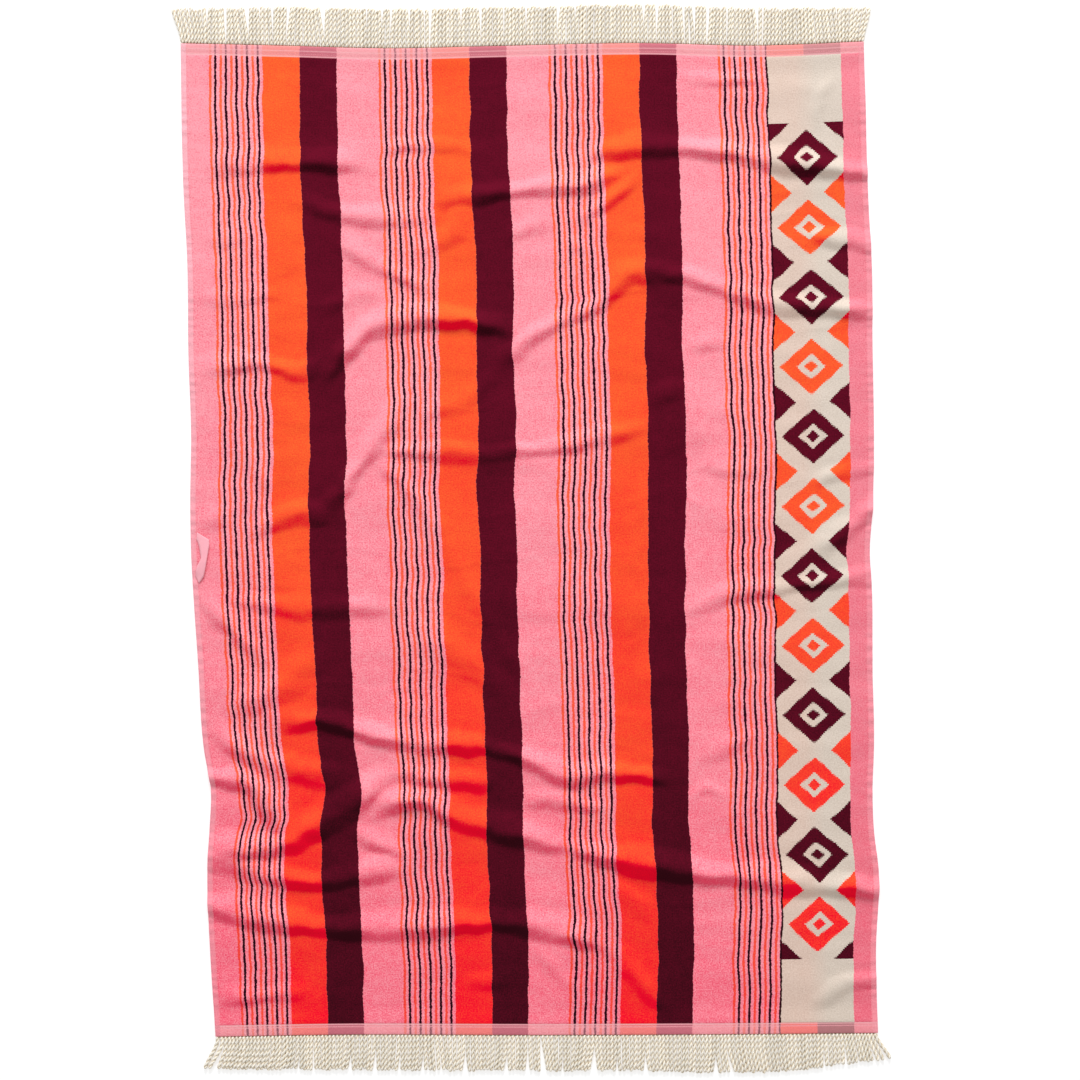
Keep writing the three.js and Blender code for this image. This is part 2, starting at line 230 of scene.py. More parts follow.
class Graph:
    """Builds one node tree, of a material or of Geometry Nodes."""

    def __init__(self, tree: bpy.types.NodeTree) -> None:
        """Start on an empty or new tree."""
        self.tree = tree

    def node(
        self,
        kind: str,
        settings: Optional[dict[str, Any]] = None,
        inputs: Optional[dict[Union[int, str], Any]] = None,
    ) -> Value:
        """Add one node.

        Args:
            kind: Node type.
            settings: Properties set before the sockets are used.
            inputs: Values or links by socket identifier, name or number; a list links several.

        Returns:
            The node's first output that is in use.
        """
        made = self.tree.nodes.new(kind)
        for name, setting in (settings or {}).items():
            setattr(made, name, setting)
        for key, given in (inputs or {}).items():
            socket = self._socket(made, key)
            for one in given if isinstance(given, list) else [given]:
                if isinstance(one, Value):
                    self.tree.links.new(one.socket, socket)
                else:
                    socket.default_value = one
        shown = [socket for socket in made.outputs if socket.enabled]
        return Value(self, shown[0]) if shown else Value(self, None)

    @staticmethod
    def _socket(made: bpy.types.Node, key: Union[int, str]) -> bpy.types.NodeSocket:
        """Input socket by number, identifier or name."""
        if isinstance(key, int):
            return made.inputs[key]
        for socket in made.inputs:
            if socket.identifier == key:
                return socket
        return next(socket for socket in made.inputs if socket.name == key and socket.enabled)

    def mix(self, factor: Number, first: Any, second: Any) -> Value:
        """Colour between two colours."""
        settings = {"data_type": "RGBA", "clamp_factor": True}
        inputs = {"Factor_Float": factor, "A_Color": first, "B_Color": second}
        return self.node("ShaderNodeMix", settings, inputs)

    def brighten(self, colour: Union[Value, Colour], amount: Value) -> Value:
        """Colour times a number."""
        vector = colour if isinstance(colour, Value) else colour[:3]
        inputs = {"Vector": vector, "Scale": amount}
        return self.node("ShaderNodeVectorMath", {"operation": "SCALE"}, inputs)

    def attribute(self, name: str) -> Value:
        """A number stored on the mesh."""
        return self.node("ShaderNodeAttribute", {"attribute_name": name}).output("Fac")

    def bump(self, height: Value, strength: float, depth: float) -> Value:
        """Normal of a relief from 0 to 1 that is depth metres high."""
        inputs = {"Strength": strength, "Distance": depth, "Height": height}
        return self.node("ShaderNodeBump", {}, inputs)

    def noise(self, place: Value, scale: float, detail: float = 2.0, rough: float = 0.5) -> Value:
        """Noise from about 0 to 1 at a place."""
        inputs = {"Vector": place, "Scale": scale, "Detail": detail, "Roughness": rough}
        return self.node("ShaderNodeTexNoise", {}, inputs)


def new_material(name: str) -> tuple[bpy.types.Material, Graph, bpy.types.Node]:
    """A material with an empty Principled shader.

    Returns:
        The material, its graph and its Principled node.
    """
    material = bpy.data.materials.new(name)
    material.use_nodes = True
    tree = material.node_tree
    return material, Graph(tree), tree.nodes["Principled BSDF"]


def plug(graph: Graph, shader: bpy.types.Node, **sockets: Any) -> None:
    """Set or link the Principled shader's sockets, with _ for a space in each name."""
    for name, given in sockets.items():
        socket = shader.inputs[name.replace("_", " ")]
        if isinstance(given, Value):
            graph.tree.links.new(given.socket, socket)
        else:
            socket.default_value = given


@dataclass(frozen=True)
class Station:
    """The towel's long edges and main stripe edges at one place along its length, in mm."""

    y: float
    left: float
    first: float
    second: float
    third: float
    panel: float
    right: float


STATIONS = (
    Station(-727, -475, -363, -123, 117, 352, 495),
    Station(-601, -483, -366, -125, 120, 355, 492),
    Station(-484, -487, -374, -129, 114, 356, 496),
    Station(-425, -484, -372, -132, 111, 349, 489),
    Station(-366, -482, -369, -132, 111, 350, 487),
    Station(-308, -492, -377, -134, 110, 349, 489),
    Station(-190, -500, -384, -138, 107, 346, 487),
    Station(-73, -508, -390, -142, 104, 346, 486),
    Station(-15, -511, -393, -142, 104, 344, 483),
    Station(44, -512, -393, -147, 103, 346, 487),
    Station(161, -511, -391, -146, 105, 346, 489),
    Station(278, -515, -396, -148, 100, 341, 487),
    Station(396, -516, -399, -149, 99, 342, 486),
    Station(513, -522, -404, -155, 95, 338, 480),
    Station(630, -525, -406, -158, 92, 335, 477),
    Station(727, -526, -407, -159, 91, 331, 474),
)
TOP_END: tuple[Point2, ...] = (
    (-527, 727), (-380, 723.5), (-220, 719.5), (-60, 723), (150, 727), (320, 723.5), (474, 729.5),
)
BOTTOM_END: tuple[Point2, ...] = ((-476, -727), (-300, -724), (0, -724.5), (250, -723.5), (496, -721.5))


class End(Enum):
    """The towel's two hemmed ends."""

    TOP = 1
    BOTTOM = -1

    @property
    def outward(self) -> int:
        """Sign of Y away from the cloth."""
        return self.value

    def edge(self, x: Array) -> Array:
        """Y of the hem's edge at each X, in mm."""
        return smooth_between(*zip(*(TOP_END if self is End.TOP else BOTTOM_END)), x)


@dataclass(frozen=True)
class Bulge:
    """A place where the wrinkles push the cloth sideways: centre, reach and shift in X, in mm."""

    x: float
    y: float
    across: float
    along: float
    shift: float


BULGES = (
    Bulge(-425, -407, 85, 17, 6.3),
    Bulge(-443, -462, 25, 17, -3.0),
    Bulge(-300, -362, 50, 22, 4.0),
    Bulge(-400, -507, 80, 13, 3.2),
    Bulge(-445, -242, 25, 14, -3.0),
    Bulge(-438, -354, 16, 9, -3.0),
    Bulge(-190, 571, 90, 14, 3.4),
    Bulge(55, 352, 90, 12, 3.4),
    Bulge(310, -88, 70, 14, -3.0),
    Bulge(310, 0, 70, 13, 3.0),
    Bulge(310, 330, 70, 28, 2.0),
    Bulge(310, -610, 70, 40, -2.4),
)


@dataclass(frozen=True)
class StripeLayout:
    """The stripe plan across the flat cloth, in mm from the left edge."""

    start: float = 41.4
    repeat: float = 248.0
    line_pitch: float = 15.55
    orange_line: Point2 = (1.8, 1.8)
    dark_line: Point2 = (9.2, 1.75)
    dark_core: float = 0.7
    group_paleness: float = 0.8
    group_width: float = 75.0
    orange_from: float = 78.0
    maroon_from: float = 133.0
    maroon_to: float = 187.2
    panel_from: float = 858.0
    panel_to: float = 965.6
    stops_before: float = 10.0

    @property
    def flats(self) -> tuple[float, ...]:
        """Flat places of the Station columns."""
        orange = self.start + self.orange_from
        return (0.0, orange, orange + self.repeat, orange + 2 * self.repeat, self.panel_from, 1000.0)

    @property
    def panel_centre(self) -> float:
        """Middle of the cream panel."""
        return (self.panel_from + self.panel_to) / 2


@dataclass(frozen=True)
class TowelPlan:
    """Where each point of the flat cloth lies, seen from above, in mm."""

    width: float = 1000.0
    length: float = 1451.0
    push_from: float = 4.0
    push_full: float = 34.0
    stripes: StripeLayout = StripeLayout()
    bulges: tuple[Bulge, ...] = BULGES

    def across(self, u: Array, y: Array) -> Array:
        """X of the flat place u at height y."""
        keys = [station.y for station in STATIONS]
        columns = ("left", "first", "second", "third", "panel", "right")
        lines = [smooth_between(keys, [getattr(s, c) for s in STATIONS], y) for c in columns]
        flats = self.stripes.flats
        x = np.zeros_like(y, float)
        for i in range(len(flats) - 1):
            share = np.clip((u - flats[i]) / (flats[i + 1] - flats[i]), 0, 1)
            inside = (u >= flats[i]) & (u <= flats[i + 1])
            x = np.where(inside, lines[i] + (lines[i + 1] - lines[i]) * share, x)
        return x

    def place(self, u: Array, v: Array) -> tuple[Array, Array]:
        """Plan place of flat places.

        Args:
            u: Distance from the left edge, in mm.
            v: Distance from the bottom hem's edge, in mm.

        Returns:
            X and Y of each, in mm.
        """
        rough_y = BOTTOM_END[0][1] + (TOP_END[0][1] - BOTTOM_END[0][1]) * v / self.length
        x = self.across(u, rough_y)
        low = End.BOTTOM.edge(x)
        y = low + (End.TOP.edge(x) - low) * v / self.length
        x = self.across(u, y)
        from_side = np.minimum(u, self.width - u)
        pushed = np.zeros_like(x)
        for bulge in self.bulges:
            off_square = ((x - bulge.x) / bulge.across) ** 2 + ((y - bulge.y) / bulge.along) ** 2
            pushed += bulge.shift * np.exp(-off_square)
        return x + pushed * ramp(from_side, self.push_from, self.push_full), y


@dataclass(frozen=True)
class Fold:
    """One wrinkle: its crest line, height, and reach to +Y (above) and to -Y (below), in mm."""

    crest: tuple[Point2, ...]
    rise: float
    above: float
    below: float

    def line(self, per_span: int = 12) -> Array:
        """Points of the smooth crest through the table's points."""
        known = np.array([self.crest[0], *self.crest, self.crest[-1]], float)
        points = []
        for i in range(1, len(known) - 2):
            before, a, b, after = known[i - 1 : i + 3]
            for t in np.arange(per_span) / per_span:
                bend_a = (b - before) / 2
                bend_b = (after - a) / 2
                cubic = (2 * t**3 - 3 * t**2 + 1) * a + (t**3 - 2 * t**2 + t) * bend_a
                points.append(cubic + (3 * t**2 - 2 * t**3) * b + (t**3 - t**2) * bend_b)
        points.append(known[-1])
        return np.array(points)


FOLDS = (
    Fold(((-505, 547), (-418, 552), (-329, 553), (-232, 556)), 8, 26, 14),
    Fold(((-253, 573), (-156, 579), (-107, 574), (-62, 552)), 4, 16, 12),
    Fold(((52, 540), (86, 566), (162, 576), (259, 569), (363, 552), (530, 532)), 10, 22, 13),
    Fold(((-172, 495), (-73, 507), (31, 519), (86, 527), (150, 551)), 8.5, 20, 12),
    Fold(((-376, 512), (-301, 478), (-225, 473), (-136, 483)), 6, 20, 13),
    Fold(((-508, 437), (-467, 439), (-412, 460)), 3, 18, 14),
    Fold(((-310, 453), (-246, 408), (-150, 362)), 6, 18, 13),
    Fold(((-200, 424), (-142, 441), (-114, 479), (-97, 505)), 4.5, 20, 19),
    Fold(((-73, 429), (-24, 457), (31, 481)), 4, 16, 13),
    Fold(((40, 455), (100, 498), (155, 543)), 5, 16, 13),
    Fold(((28, 455), (52, 431), (93, 419)), 3, 12, 10),
    Fold(((-508, 357), (-446, 355), (-363, 363)), 3, 16, 12),
    Fold(((50, 464), (125, 452), (210, 440)), 2.5, 20, 16),
    Fold(((-335, 333), (-285, 356), (-225, 380)), 3, 16, 14),
    Fold(((-521, 246), (-418, 261), (-349, 245), (-290, 280)), 6, 20, 13),
    Fold(((-326, 216), (-300, 256), (-253, 307), (-190, 325), (-114, 323), (-20, 302)), 10, 22, 14),
    Fold(((-196, 178), (-107, 208), (-50, 262)), 3, 18, 13),
    Fold(((-75, 240), (-38, 277), (20, 318), (75, 338)), 7, 20, 13),
    Fold(
        ((20, 318), (75, 338), (100, 364), (130, 390), (205, 389), (283, 363), (347, 345), (400, 342),
         (530, 330)), 9, 20, 13,
    ),
    Fold(((201, 278), (277, 298)), 3, 14, 12),
    Fold(((-330, 15), (-280, 90), (-246, 139), (-190, 222)), 9, 20, 15),
    Fold(((-252, 133), (-142, 130), (-59, 128), (66, 147), (182, 174)), 5, 15, 12),
    Fold(((145, 198), (190, 220), (235, 226)), 4, 14, 12),
    Fold(((207, 280), (223, 215), (231, 115)), 3, 12, 12),
    Fold(((-435, 3), (-363, 39), (-284, 33)), 7, 20, 14),
    Fold(((-520, 20), (-439, 43)), 4, 18, 14),
    Fold(((-245, 130), (-183, 63), (-132, -10)), 5, 16, 14),
    Fold(((-150, 20), (-100, -75), (-5, -235)), 2.5, 16, 14),
    Fold(((150, 120), (140, -60), (139, -215)), 2, 11, 11),
    Fold(((201, 72), (249, 40)), 3, 12, 10),
    Fold(((190, 693), (225, 676), (342, 674)), 3.5, 12, 8),
    Fold(((403, 582), (407, 644), (438, 688)), 3, 10, 10),
    Fold(((377, 450), (432, 442), (530, 428)), 6, 18, 12),
    Fold(((377, -32), (446, 14), (520, 75)), 7, 22, 14),
    Fold(((221, 114), (280, 103), (345, 104)), 3, 18, 13),
    Fold(((387, 76), (439, 99), (520, 108)), 4, 14, 10),
    Fold(((-438, 145), (-415, 104), (-385, 54)), 3, 14, 12),
    Fold(((-477, -84), (-349, -98), (-240, -98), (-190, -110)), 5.5, 20, 14),
    Fold(((-215, -100), (-163, -136), (-87, -193), (-18, -262)), 3.5, 30, 22),
    Fold(((-503, -60), (-453, -127), (-389, -185)), 5, 18, 14),
    Fold(((-480, -255), (-391, -220), (-310, -150)), 5, 24, 20),
    Fold(
        ((-421, -274), (-329, -262), (-246, -284), (-170, -296), (-87, -302), (-11, -322), (45, -345),
         (107, -339), (220, -354)), 9, 20, 13,
    ),
    Fold(((-497, -252), (-418, -315), (-298, -345), (-255, -351)), 6.5, 20, 18),
    Fold(((-238, -338), (-142, -348), (-49, -357)), 6, 16, 12),
    Fold(((-520, -456), (-384, -446), (-322, -413), (-259, -371), (-198, -318)), 12, 26, 18),
    Fold(((-530, -347), (-439, -352), (-398, -386), (-370, -451)), 10, 20, 14),
    Fold(((-530, -452), (-432, -478), (-336, -500), (-266, -487), (-174, -475)), 8, 20, 14),
    Fold(((-283, -402), (-183, -381), (-114, -409), (-17, -435), (66, -457)), 11, 26, 14),
    Fold(((20, -447), (66, -457), (204, -482), (328, -496), (411, -505), (540, -516)), 12, 26, 14),
    Fold(((-286, -420), (-232, -445), (-177, -470)), 6, 16, 12),
    Fold(((-38, -374), (31, -383), (114, -395)), 5, 16, 12),
    Fold(
        ((-530, -526), (-363, -561), (-259, -568), (-170, -565), (-73, -558), (17, -570), (124, -600)),
        11, 26, 14,
    ),
    Fold(((90, -580), (135, -628), (190, -697)), 5, 16, 13),
    Fold(((-477, -667), (-398, -666), (-322, -655)), 4, 18, 12),
    Fold(((191, -116), (273, -80), (363, -68), (530, -46)), 5.5, 18, 11),
    Fold(((215, -320), (273, -303), (331, -273)), 3, 16, 12),
    Fold(((214, -388), (245, -362), (283, -385)), 3, 12, 10),
    Fold(((83, -482), (135, -527), (179, -558)), 3, 14, 12),
    Fold(((391, -692), (446, -651), (530, -638)), 5, 18, 12),
    Fold(((-14, -589), (24, -628), (65, -670)), 3, 14, 12),
    Fold(((-124, -651), (-21, -634)), 3, 14, 12),
)


@dataclass(frozen=True)
class Wrinkles:
    """The height that the wrinkles lift the cloth's underside, in mm."""

    folds: tuple[Fold, ...] = FOLDS
    fade: float = 45.0
    longest_fade: float = 80.0
    fade_share: float = 0.3
    join_power: float = 3.0
    settled: float = 0.88
    level: float = 0.95
    uneven: float = 0.6
    uneven_run: float = 55.0
    uneven_reach: float = 0.2
    reach_run: float = 34.0
    head_reach: float = 1.1
    foot_reach: float = 1.42
    foot_power: float = 0.78
    farthest: float = 1.7
    stray: float = 5.0
    swell: float = 2.0
    swell_level: float = 0.45
    swell_across: float = 150.0
    swell_along: float = 62.0
    small_swells: float = 2.6
    crinkle: float = 0.5
    crinkle_half: float = 0.11

    def height(self, x: Array, y: Array) -> Array:
        """Height of the underside at each plan place."""
        total = np.zeros(x.shape)
        x, y = x + self.stray * drift(x / 30, y / 22, 4.4), y + self.stray * drift(x / 26, y / 30, 9.1)
        for number, fold in enumerate(self.folds):
            line = fold.line()
            reach = max(fold.above, fold.below) * self.farthest
            low = line.min(axis=0) - reach
            high = line.max(axis=0) + reach
            near = (x > low[0]) & (x < high[0]) & (y > low[1]) & (y < high[1])
            if near.any():
                ridge = self._ridge(fold, line, x[near], y[near], number)
                total[near] += ridge**self.join_power
        return self.settled * total ** (1 / self.join_power)

    def _ridge(self, fold: Fold, line: Array, x: Array, y: Array, number: int) -> Array:
        """Height of one wrinkle near its crest."""
        step = line[1:] - line[:-1]
        step = step * np.where(step[:, 0] < 0, -1.0, 1.0)[:, None]
        base = np.where((line[1:, 0] < line[:-1, 0])[:, None], line[1:], line[:-1])
        length = np.hypot(step[:, 0], step[:, 1])
        run_start = np.concatenate([[0.0], np.cumsum(length)])
        backward = line[1:, 0] < line[:-1, 0]
        to_x = x[:, None] - base[:, 0]
        to_y = y[:, None] - base[:, 1]
        t = np.clip((to_x * step[:, 0] + to_y * step[:, 1]) / length**2, 0, 1)
        off_x = to_x - t * step[:, 0]
        off_y = to_y - t * step[:, 1]
        gap = np.hypot(off_x, off_y)
        best = gap.argmin(axis=1)
        row = np.arange(len(x))
        away = gap[row, best]
        over = off_y[row, best] * step[best, 0] >= off_x[row, best] * step[best, 1]
        share = np.where(backward[best], 1 - t[row, best], t[row, best])
        run = run_start[best] + share * length[best]
        reach = np.where(over, fold.above * self.head_reach, fold.below * self.foot_reach)
        reach = reach * (1 + self.uneven_reach * np.sin(run / self.reach_run + 2.3 * number))
        q = np.clip(away / reach, 0, 1)
        slope = (1 + np.cos(math.pi * q)) / 2
        slope = np.where(over, slope, slope**self.foot_power)
        whole = run_start[-1]
        fade = min(max(self.fade, self.fade_share * whole), self.longest_fade)
        ends = ramp(np.minimum(run, whole - run), 0, fade)
        level = self.level + self.uneven * drift(run / self.uneven_run, 0 * run, 1.7 * number)
        return fold.rise * slope * ends * level

    def swelling(self, x: Array, y: Array) -> Array:
        """Broad, low swells of cloth that isn't quite pressed flat, never below 0."""
        across, along = x / self.swell_across, y / self.swell_along
        small = drift(self.small_swells * across, self.small_swells * along, 7.7)
        swells = np.clip(self.swell_level + drift(across, along, 3.1) + self.swell_level * small, 0, None)
        bent = drift(x / 95 + y / 160, y / 46, 12.4)
        creases = ramp(self.crinkle_half - abs(bent), 0, self.crinkle_half)
        return self.swell * swells + self.crinkle * creases * (0.6 + drift(x / 140, y / 140, 2.2))


@dataclass(frozen=True)
class ClothSizes:
    """Sizes of the towel cloth, in mm."""

    pile: float = 3.0
    side_hem: float = 8.2
    side_hem_thickness: float = 2.5
    end_hem: float = 16.3
    end_hem_thickness: float = 2.4
    hem_lift: float = 2.6
    hem_flat: float = 4.0
    hem_eased: float = 44.0
    end_seam: float = 11.8
    seam_depth: float = 0.15
    seam_half: float = 0.9
    thinnest: float = 0.8
    roll: float = 1.4
    roll_depth: float = 0.32
    pucker: float = 0.8
    pucker_waves: tuple[float, float, float] = (2.3, 17.0, 31.0)
    pucker_ends: Point2 = (3.0, 16.0)
    calm: Point2 = (10.0, 60.0)
    still_sides: Point2 = (6.0, 50.0)
    still_ends: Point2 = (18.0, 60.0)
    column_count: int = 150
    row_count: int = 396
    wander: float = 1.3
    wander_on_folds: float = 0.24
    # Painted shade on slopes facing away from the key light, and painted light on slopes facing it.
    nap_fall: float = 0.72
    nap_slope: float = 0.4
    nap_rise: float = 0.3


@dataclass(frozen=True)
class ShadedDye:
    """One yarn colour: where the pile stands open, and a darker, more saturated copy that serves both for
    pile that lies pressed and as painted shade; how soon it turns to that copy, and its speckle.
    """

    open: Colour
    deep_and_shaded: Colour
    pull: float = 1.0
    grain: float = 1.0


@dataclass(frozen=True)
class TowelPalette:
    """Yarn colours of the towel; the pile yarns each have a darker copy that is also painted shade."""

    pink: ShadedDye = ShadedDye(linear(254, 162, 174), linear(250, 82, 112))
    pale_pink: ShadedDye = ShadedDye(linear(255, 174, 184), linear(250, 104, 130))
    orange: ShadedDye = ShadedDye(linear(254, 106, 48), linear(252, 8, 46), 1.5, 0.34)
    line_orange: ShadedDye = ShadedDye(linear(252, 110, 70), linear(247, 48, 56), 1.2, 0.5)
    maroon: ShadedDye = ShadedDye(linear(102, 12, 36), linear(56, 8, 20), 1.25, 0.6)
    border_pink: ShadedDye = ShadedDye(linear(243, 140, 154), linear(238, 78, 106), 0.8)
    dark: ShadedDye = ShadedDye(linear(52, 6, 20), linear(34, 5, 14))
    cream: ShadedDye = ShadedDye(linear(222, 208, 195), linear(212, 196, 181))
    cream_warm: ShadedDye = ShadedDye(linear(226, 203, 189), linear(216, 187, 171))
    weft: Colour = linear(254, 176, 180)
    hem_line: Colour = linear(252, 194, 198)
    hem_dark: Colour = linear(128, 40, 80)
    hem_maroon: Colour = linear(214, 112, 130)
    hem_pink: Colour = linear(252, 166, 178)
    left_hem_top: Colour = linear(253, 192, 202)
    left_hem_low: Colour = linear(243, 146, 160)


@dataclass(frozen=True)
class NapShade:
    """How the pile colour turns from its open colour (0) to its darker copy (1), where the pile is pressed
    and where shade is painted: more towards the bottom and on slopes facing away from the key light, a left
    margin lighter at the top and darker towards the bottom, and random mottle; lengths in mm.
    """

    at_top: float = 0.15
    toward_bottom: float = 0.45
    bend: float = 1.8
    margin: float = 42.0
    margin_soft: float = 30.0
    margin_at_top: float = -0.1
    margin_gain: float = 0.24
    broad: float = 0.4
    patches: float = 0.65
    streaks: float = 0.3
    tufts: float = 2.4
    less_in_hem: float = 0.45


@dataclass(frozen=True)
class HemLook:
    """How the flat weave of the hems shows: lengths in mm and shares of each colour."""

    end: float = ClothSizes.end_hem
    end_soft: float = 0.8
    weft_at_top: float = 0.66
    weft_loss: float = 0.2
    maroon: float = 0.75
    dark_lines: float = 0.62
    inner_line: float = 11.6
    inner_line_shift: float = -4.4
    inner_share: float = 0.5
    outer_line: float = 15.0
    outer_share: float = 0.6
    line_half: Point2 = (0.7, 0.8)
    line_soft: float = 0.6
    side: float = 7.6
    right_share: float = 0.5
    left_more: float = 0.25
    ticks: float = 0.3


@dataclass(frozen=True)
class PanelDesign:
    """The row of stepped lozenges and triangles on the cream panel, in mm along and across."""

    first: float = 109.0
    last: float = 1336.0
    repeats: int = 12
    stitch: float = 2.4
    lozenge: Point2 = (46.0, 41.0)
    triangle: Point2 = (30.0, 27.0)
    ring_from: float = 0.46
    heart: float = 0.22
    edge: float = 0.02
    stray: float = 1.1
    end_soft: float = 0.2
    warm_over: float = 30.0


class TowelPattern:
    """The woven colours of the cloth with painted shade, worked out from its flat coordinates and its
    slopes.
    """

    def __init__(self, graph: Graph, palette: TowelPalette, plan: TowelPlan) -> None:
        """Read the cloth's UV map, in metres, into the graph."""
        self.graph = graph
        self.palette = palette
        self.plan = plan
        self.hem = HemLook()
        self.uv = graph.node("ShaderNodeUVMap", {"uv_map": "flat"})
        split = graph.node("ShaderNodeSeparateXYZ", {}, {"Vector": self.uv})
        self.u = split
        self.v = split.output("Y")
        self.along = 1 - self.v / (plan.length * MM)
        self.from_end = self.v.least(plan.length * MM - self.v)
        self.end_hem = self.from_end.below(self.hem.end * MM, self.hem.end_soft * MM)
        self.tuft = graph.noise(self.uv, 450.0, 2.0, 0.75)
        self.patch = graph.noise(self.uv, 85.0, 3.0, 0.6)
        self.nap, self.mottle = self._nap(NapShade())

    def _nap(self, lie: NapShade) -> tuple[Value, Value]:
        """How far the pile colour turns to its darker copy at each place, which is mostly painted shade,
        and its random mottle.
        """
        graph, along = self.graph, self.along
        broad = graph.noise(self.uv, 9.0, 2.0)
        drawn = graph.node("ShaderNodeCombineXYZ", {}, {"X": self.u, "Y": self.v * 0.06})
        streak = graph.noise(drawn, 430.0, 1.0)
        margin = self.u.below(lie.margin * MM, lie.margin_soft * MM)
        # Painted shade: lean and pressed grow towards the bottom and on slopes facing away from the key
        # light, read from the cloth's slope attribute; the broad noise adds random tone.
        lean = lie.at_top + lie.toward_bottom * along**lie.bend + graph.attribute("slope_shade")
        lean = lean + margin * (along * lie.margin_gain + lie.margin_at_top)
        pressed = lean + (broad - 0.5) * lie.broad
        mottle = (self.patch - 0.5) * lie.patches + (streak - 0.5) * lie.streaks
        mottle = mottle + (self.tuft - 0.5) * lie.tufts
        return pressed * (1 - lie.less_in_hem * self.end_hem), mottle

    def dyed_and_shaded(self, dye: ShadedDye) -> Value:
        """Colour of a yarn, turned towards its darker copy by painted shade and random pile mottle."""
        depth = self.nap + self.mottle * dye.grain
        return self.graph.mix((depth * dye.pull).clamped(), dye.open, dye.deep_and_shaded)

    def colour(self, edge_wander: float = 3.6 * MM, soft: float = 0.5 * MM) -> Value:
        """Yarn colour at each place, with painted shade mixed in.

        Args:
            edge_wander: How far the pile strays over a stripe's edge.
            soft: Width of the blend at an edge.

        Returns:
            The colour.
        """
        graph, yarn, stripes = self.graph, self.palette, self.plan.stripes
        stray = graph.noise(self.uv, 300.0, 2.0, 0.7)
        wavering = graph.noise(self.uv, 110.0, 1.0)
        u = self.u + (stray - 0.5) * edge_wander + (wavering - 0.5) * (1.6 * MM)
        phase = (u - stripes.start * MM) % (stripes.repeat * MM)
        group = phase.bar(stripes.group_width * MM / 2, stripes.group_width * MM / 2, soft)
        paler = group * stripes.group_paleness
        colour = graph.mix(paler, self.dyed_and_shaded(yarn.pink), self.dyed_and_shaded(yarn.pale_pink))

        line = phase % (stripes.line_pitch * MM)
        dark_centre = stripes.dark_line[0] * MM
        orange_line = line.bar(stripes.orange_line[0] * MM, stripes.orange_line[1] * MM, soft)
        dark_line = line.bar(dark_centre, stripes.dark_line[1] * MM, soft)
        whole = u.below((stripes.start + 3 * stripes.repeat - stripes.stops_before) * MM, soft)
        orange = self._block(phase, stripes.orange_from, stripes.maroon_from, soft) * whole
        maroon = self._block(phase, stripes.maroon_from, stripes.maroon_to, soft) * whole
        layers = (
            (orange_line * group, yarn.line_orange),
            (dark_line * group, yarn.dark),
            (orange, yarn.orange),
            (maroon, yarn.maroon),
            (1 - u.below(stripes.panel_to * MM, soft), yarn.border_pink),
        )
        for mask, dye in layers:
            colour = graph.mix(mask, colour, self.dyed_and_shaded(dye))
        panel = self._block(u, stripes.panel_from, stripes.panel_to, soft)
        colour = graph.mix(panel, colour, self._panel(u, stray, PanelDesign()))
        core = line.bar(dark_centre, stripes.dark_core * MM, soft) * group
        woven = self._end_hem(colour, panel, core, maroon)
        return self._side_hems(graph.mix(self.end_hem, colour, woven))

    @staticmethod
    def _block(place: Value, low: float, high: float, soft: float) -> Value:
        """Mask of a stripe from low to high, in mm."""
        return place.bar((low + high) / 2 * MM, (high - low) / 2 * MM, soft)

    def _panel(self, u: Value, stray: Value, design: PanelDesign) -> Value:
        """The cream border with stepped lozenges and triangles in two alternating colours."""
        graph, yarn, stripes = self.graph, self.palette, self.plan.stripes
        centre = stripes.panel_centre * MM
        half = (stripes.panel_to - stripes.panel_from) / 2 * MM
        first, last, stitch, edge = design.first * MM, design.last * MM, design.stitch * MM, design.edge
        pitch = (last - first) / design.repeats
        v = self.v + (stray - 0.5) * (design.stray * MM)
        side = ((abs(u - centre) / stitch).floor() + 0.5) * stitch
        along = (((v - first) / stitch).floor() + 0.5) * stitch
        from_middle = abs(along % pitch - pitch / 2)
        from_joint = pitch / 2 - from_middle
        odd = ((along / pitch).floor() % 2).clamped()
        odd_joint = (((along + pitch / 2) / pitch).floor() % 2).clamped()
        lozenge = side / (design.lozenge[0] * MM) + from_middle / (design.lozenge[1] * MM)
        triangle = (half - side) / (design.triangle[0] * MM) + from_joint / (design.triangle[1] * MM)
        ring = lozenge.below(1.0, edge) * (1 - lozenge.below(design.ring_from, edge))
        heart = lozenge.below(design.heart, edge)
        inside = v.bar((first + last) / 2, (last - first) / 2, design.end_soft * MM)
        warm = u.below(centre, design.warm_over * MM)
        orange, maroon = self.dyed_and_shaded(yarn.orange), self.dyed_and_shaded(yarn.maroon)
        ground = graph.mix(warm, self.dyed_and_shaded(yarn.cream), self.dyed_and_shaded(yarn.cream_warm))
        ground = graph.mix((ring + heart).clamped() * inside, ground, graph.mix(odd, orange, maroon))
        wedge = triangle.below(1.0, edge) * inside
        return graph.mix(wedge, ground, graph.mix(odd_joint, maroon, orange))

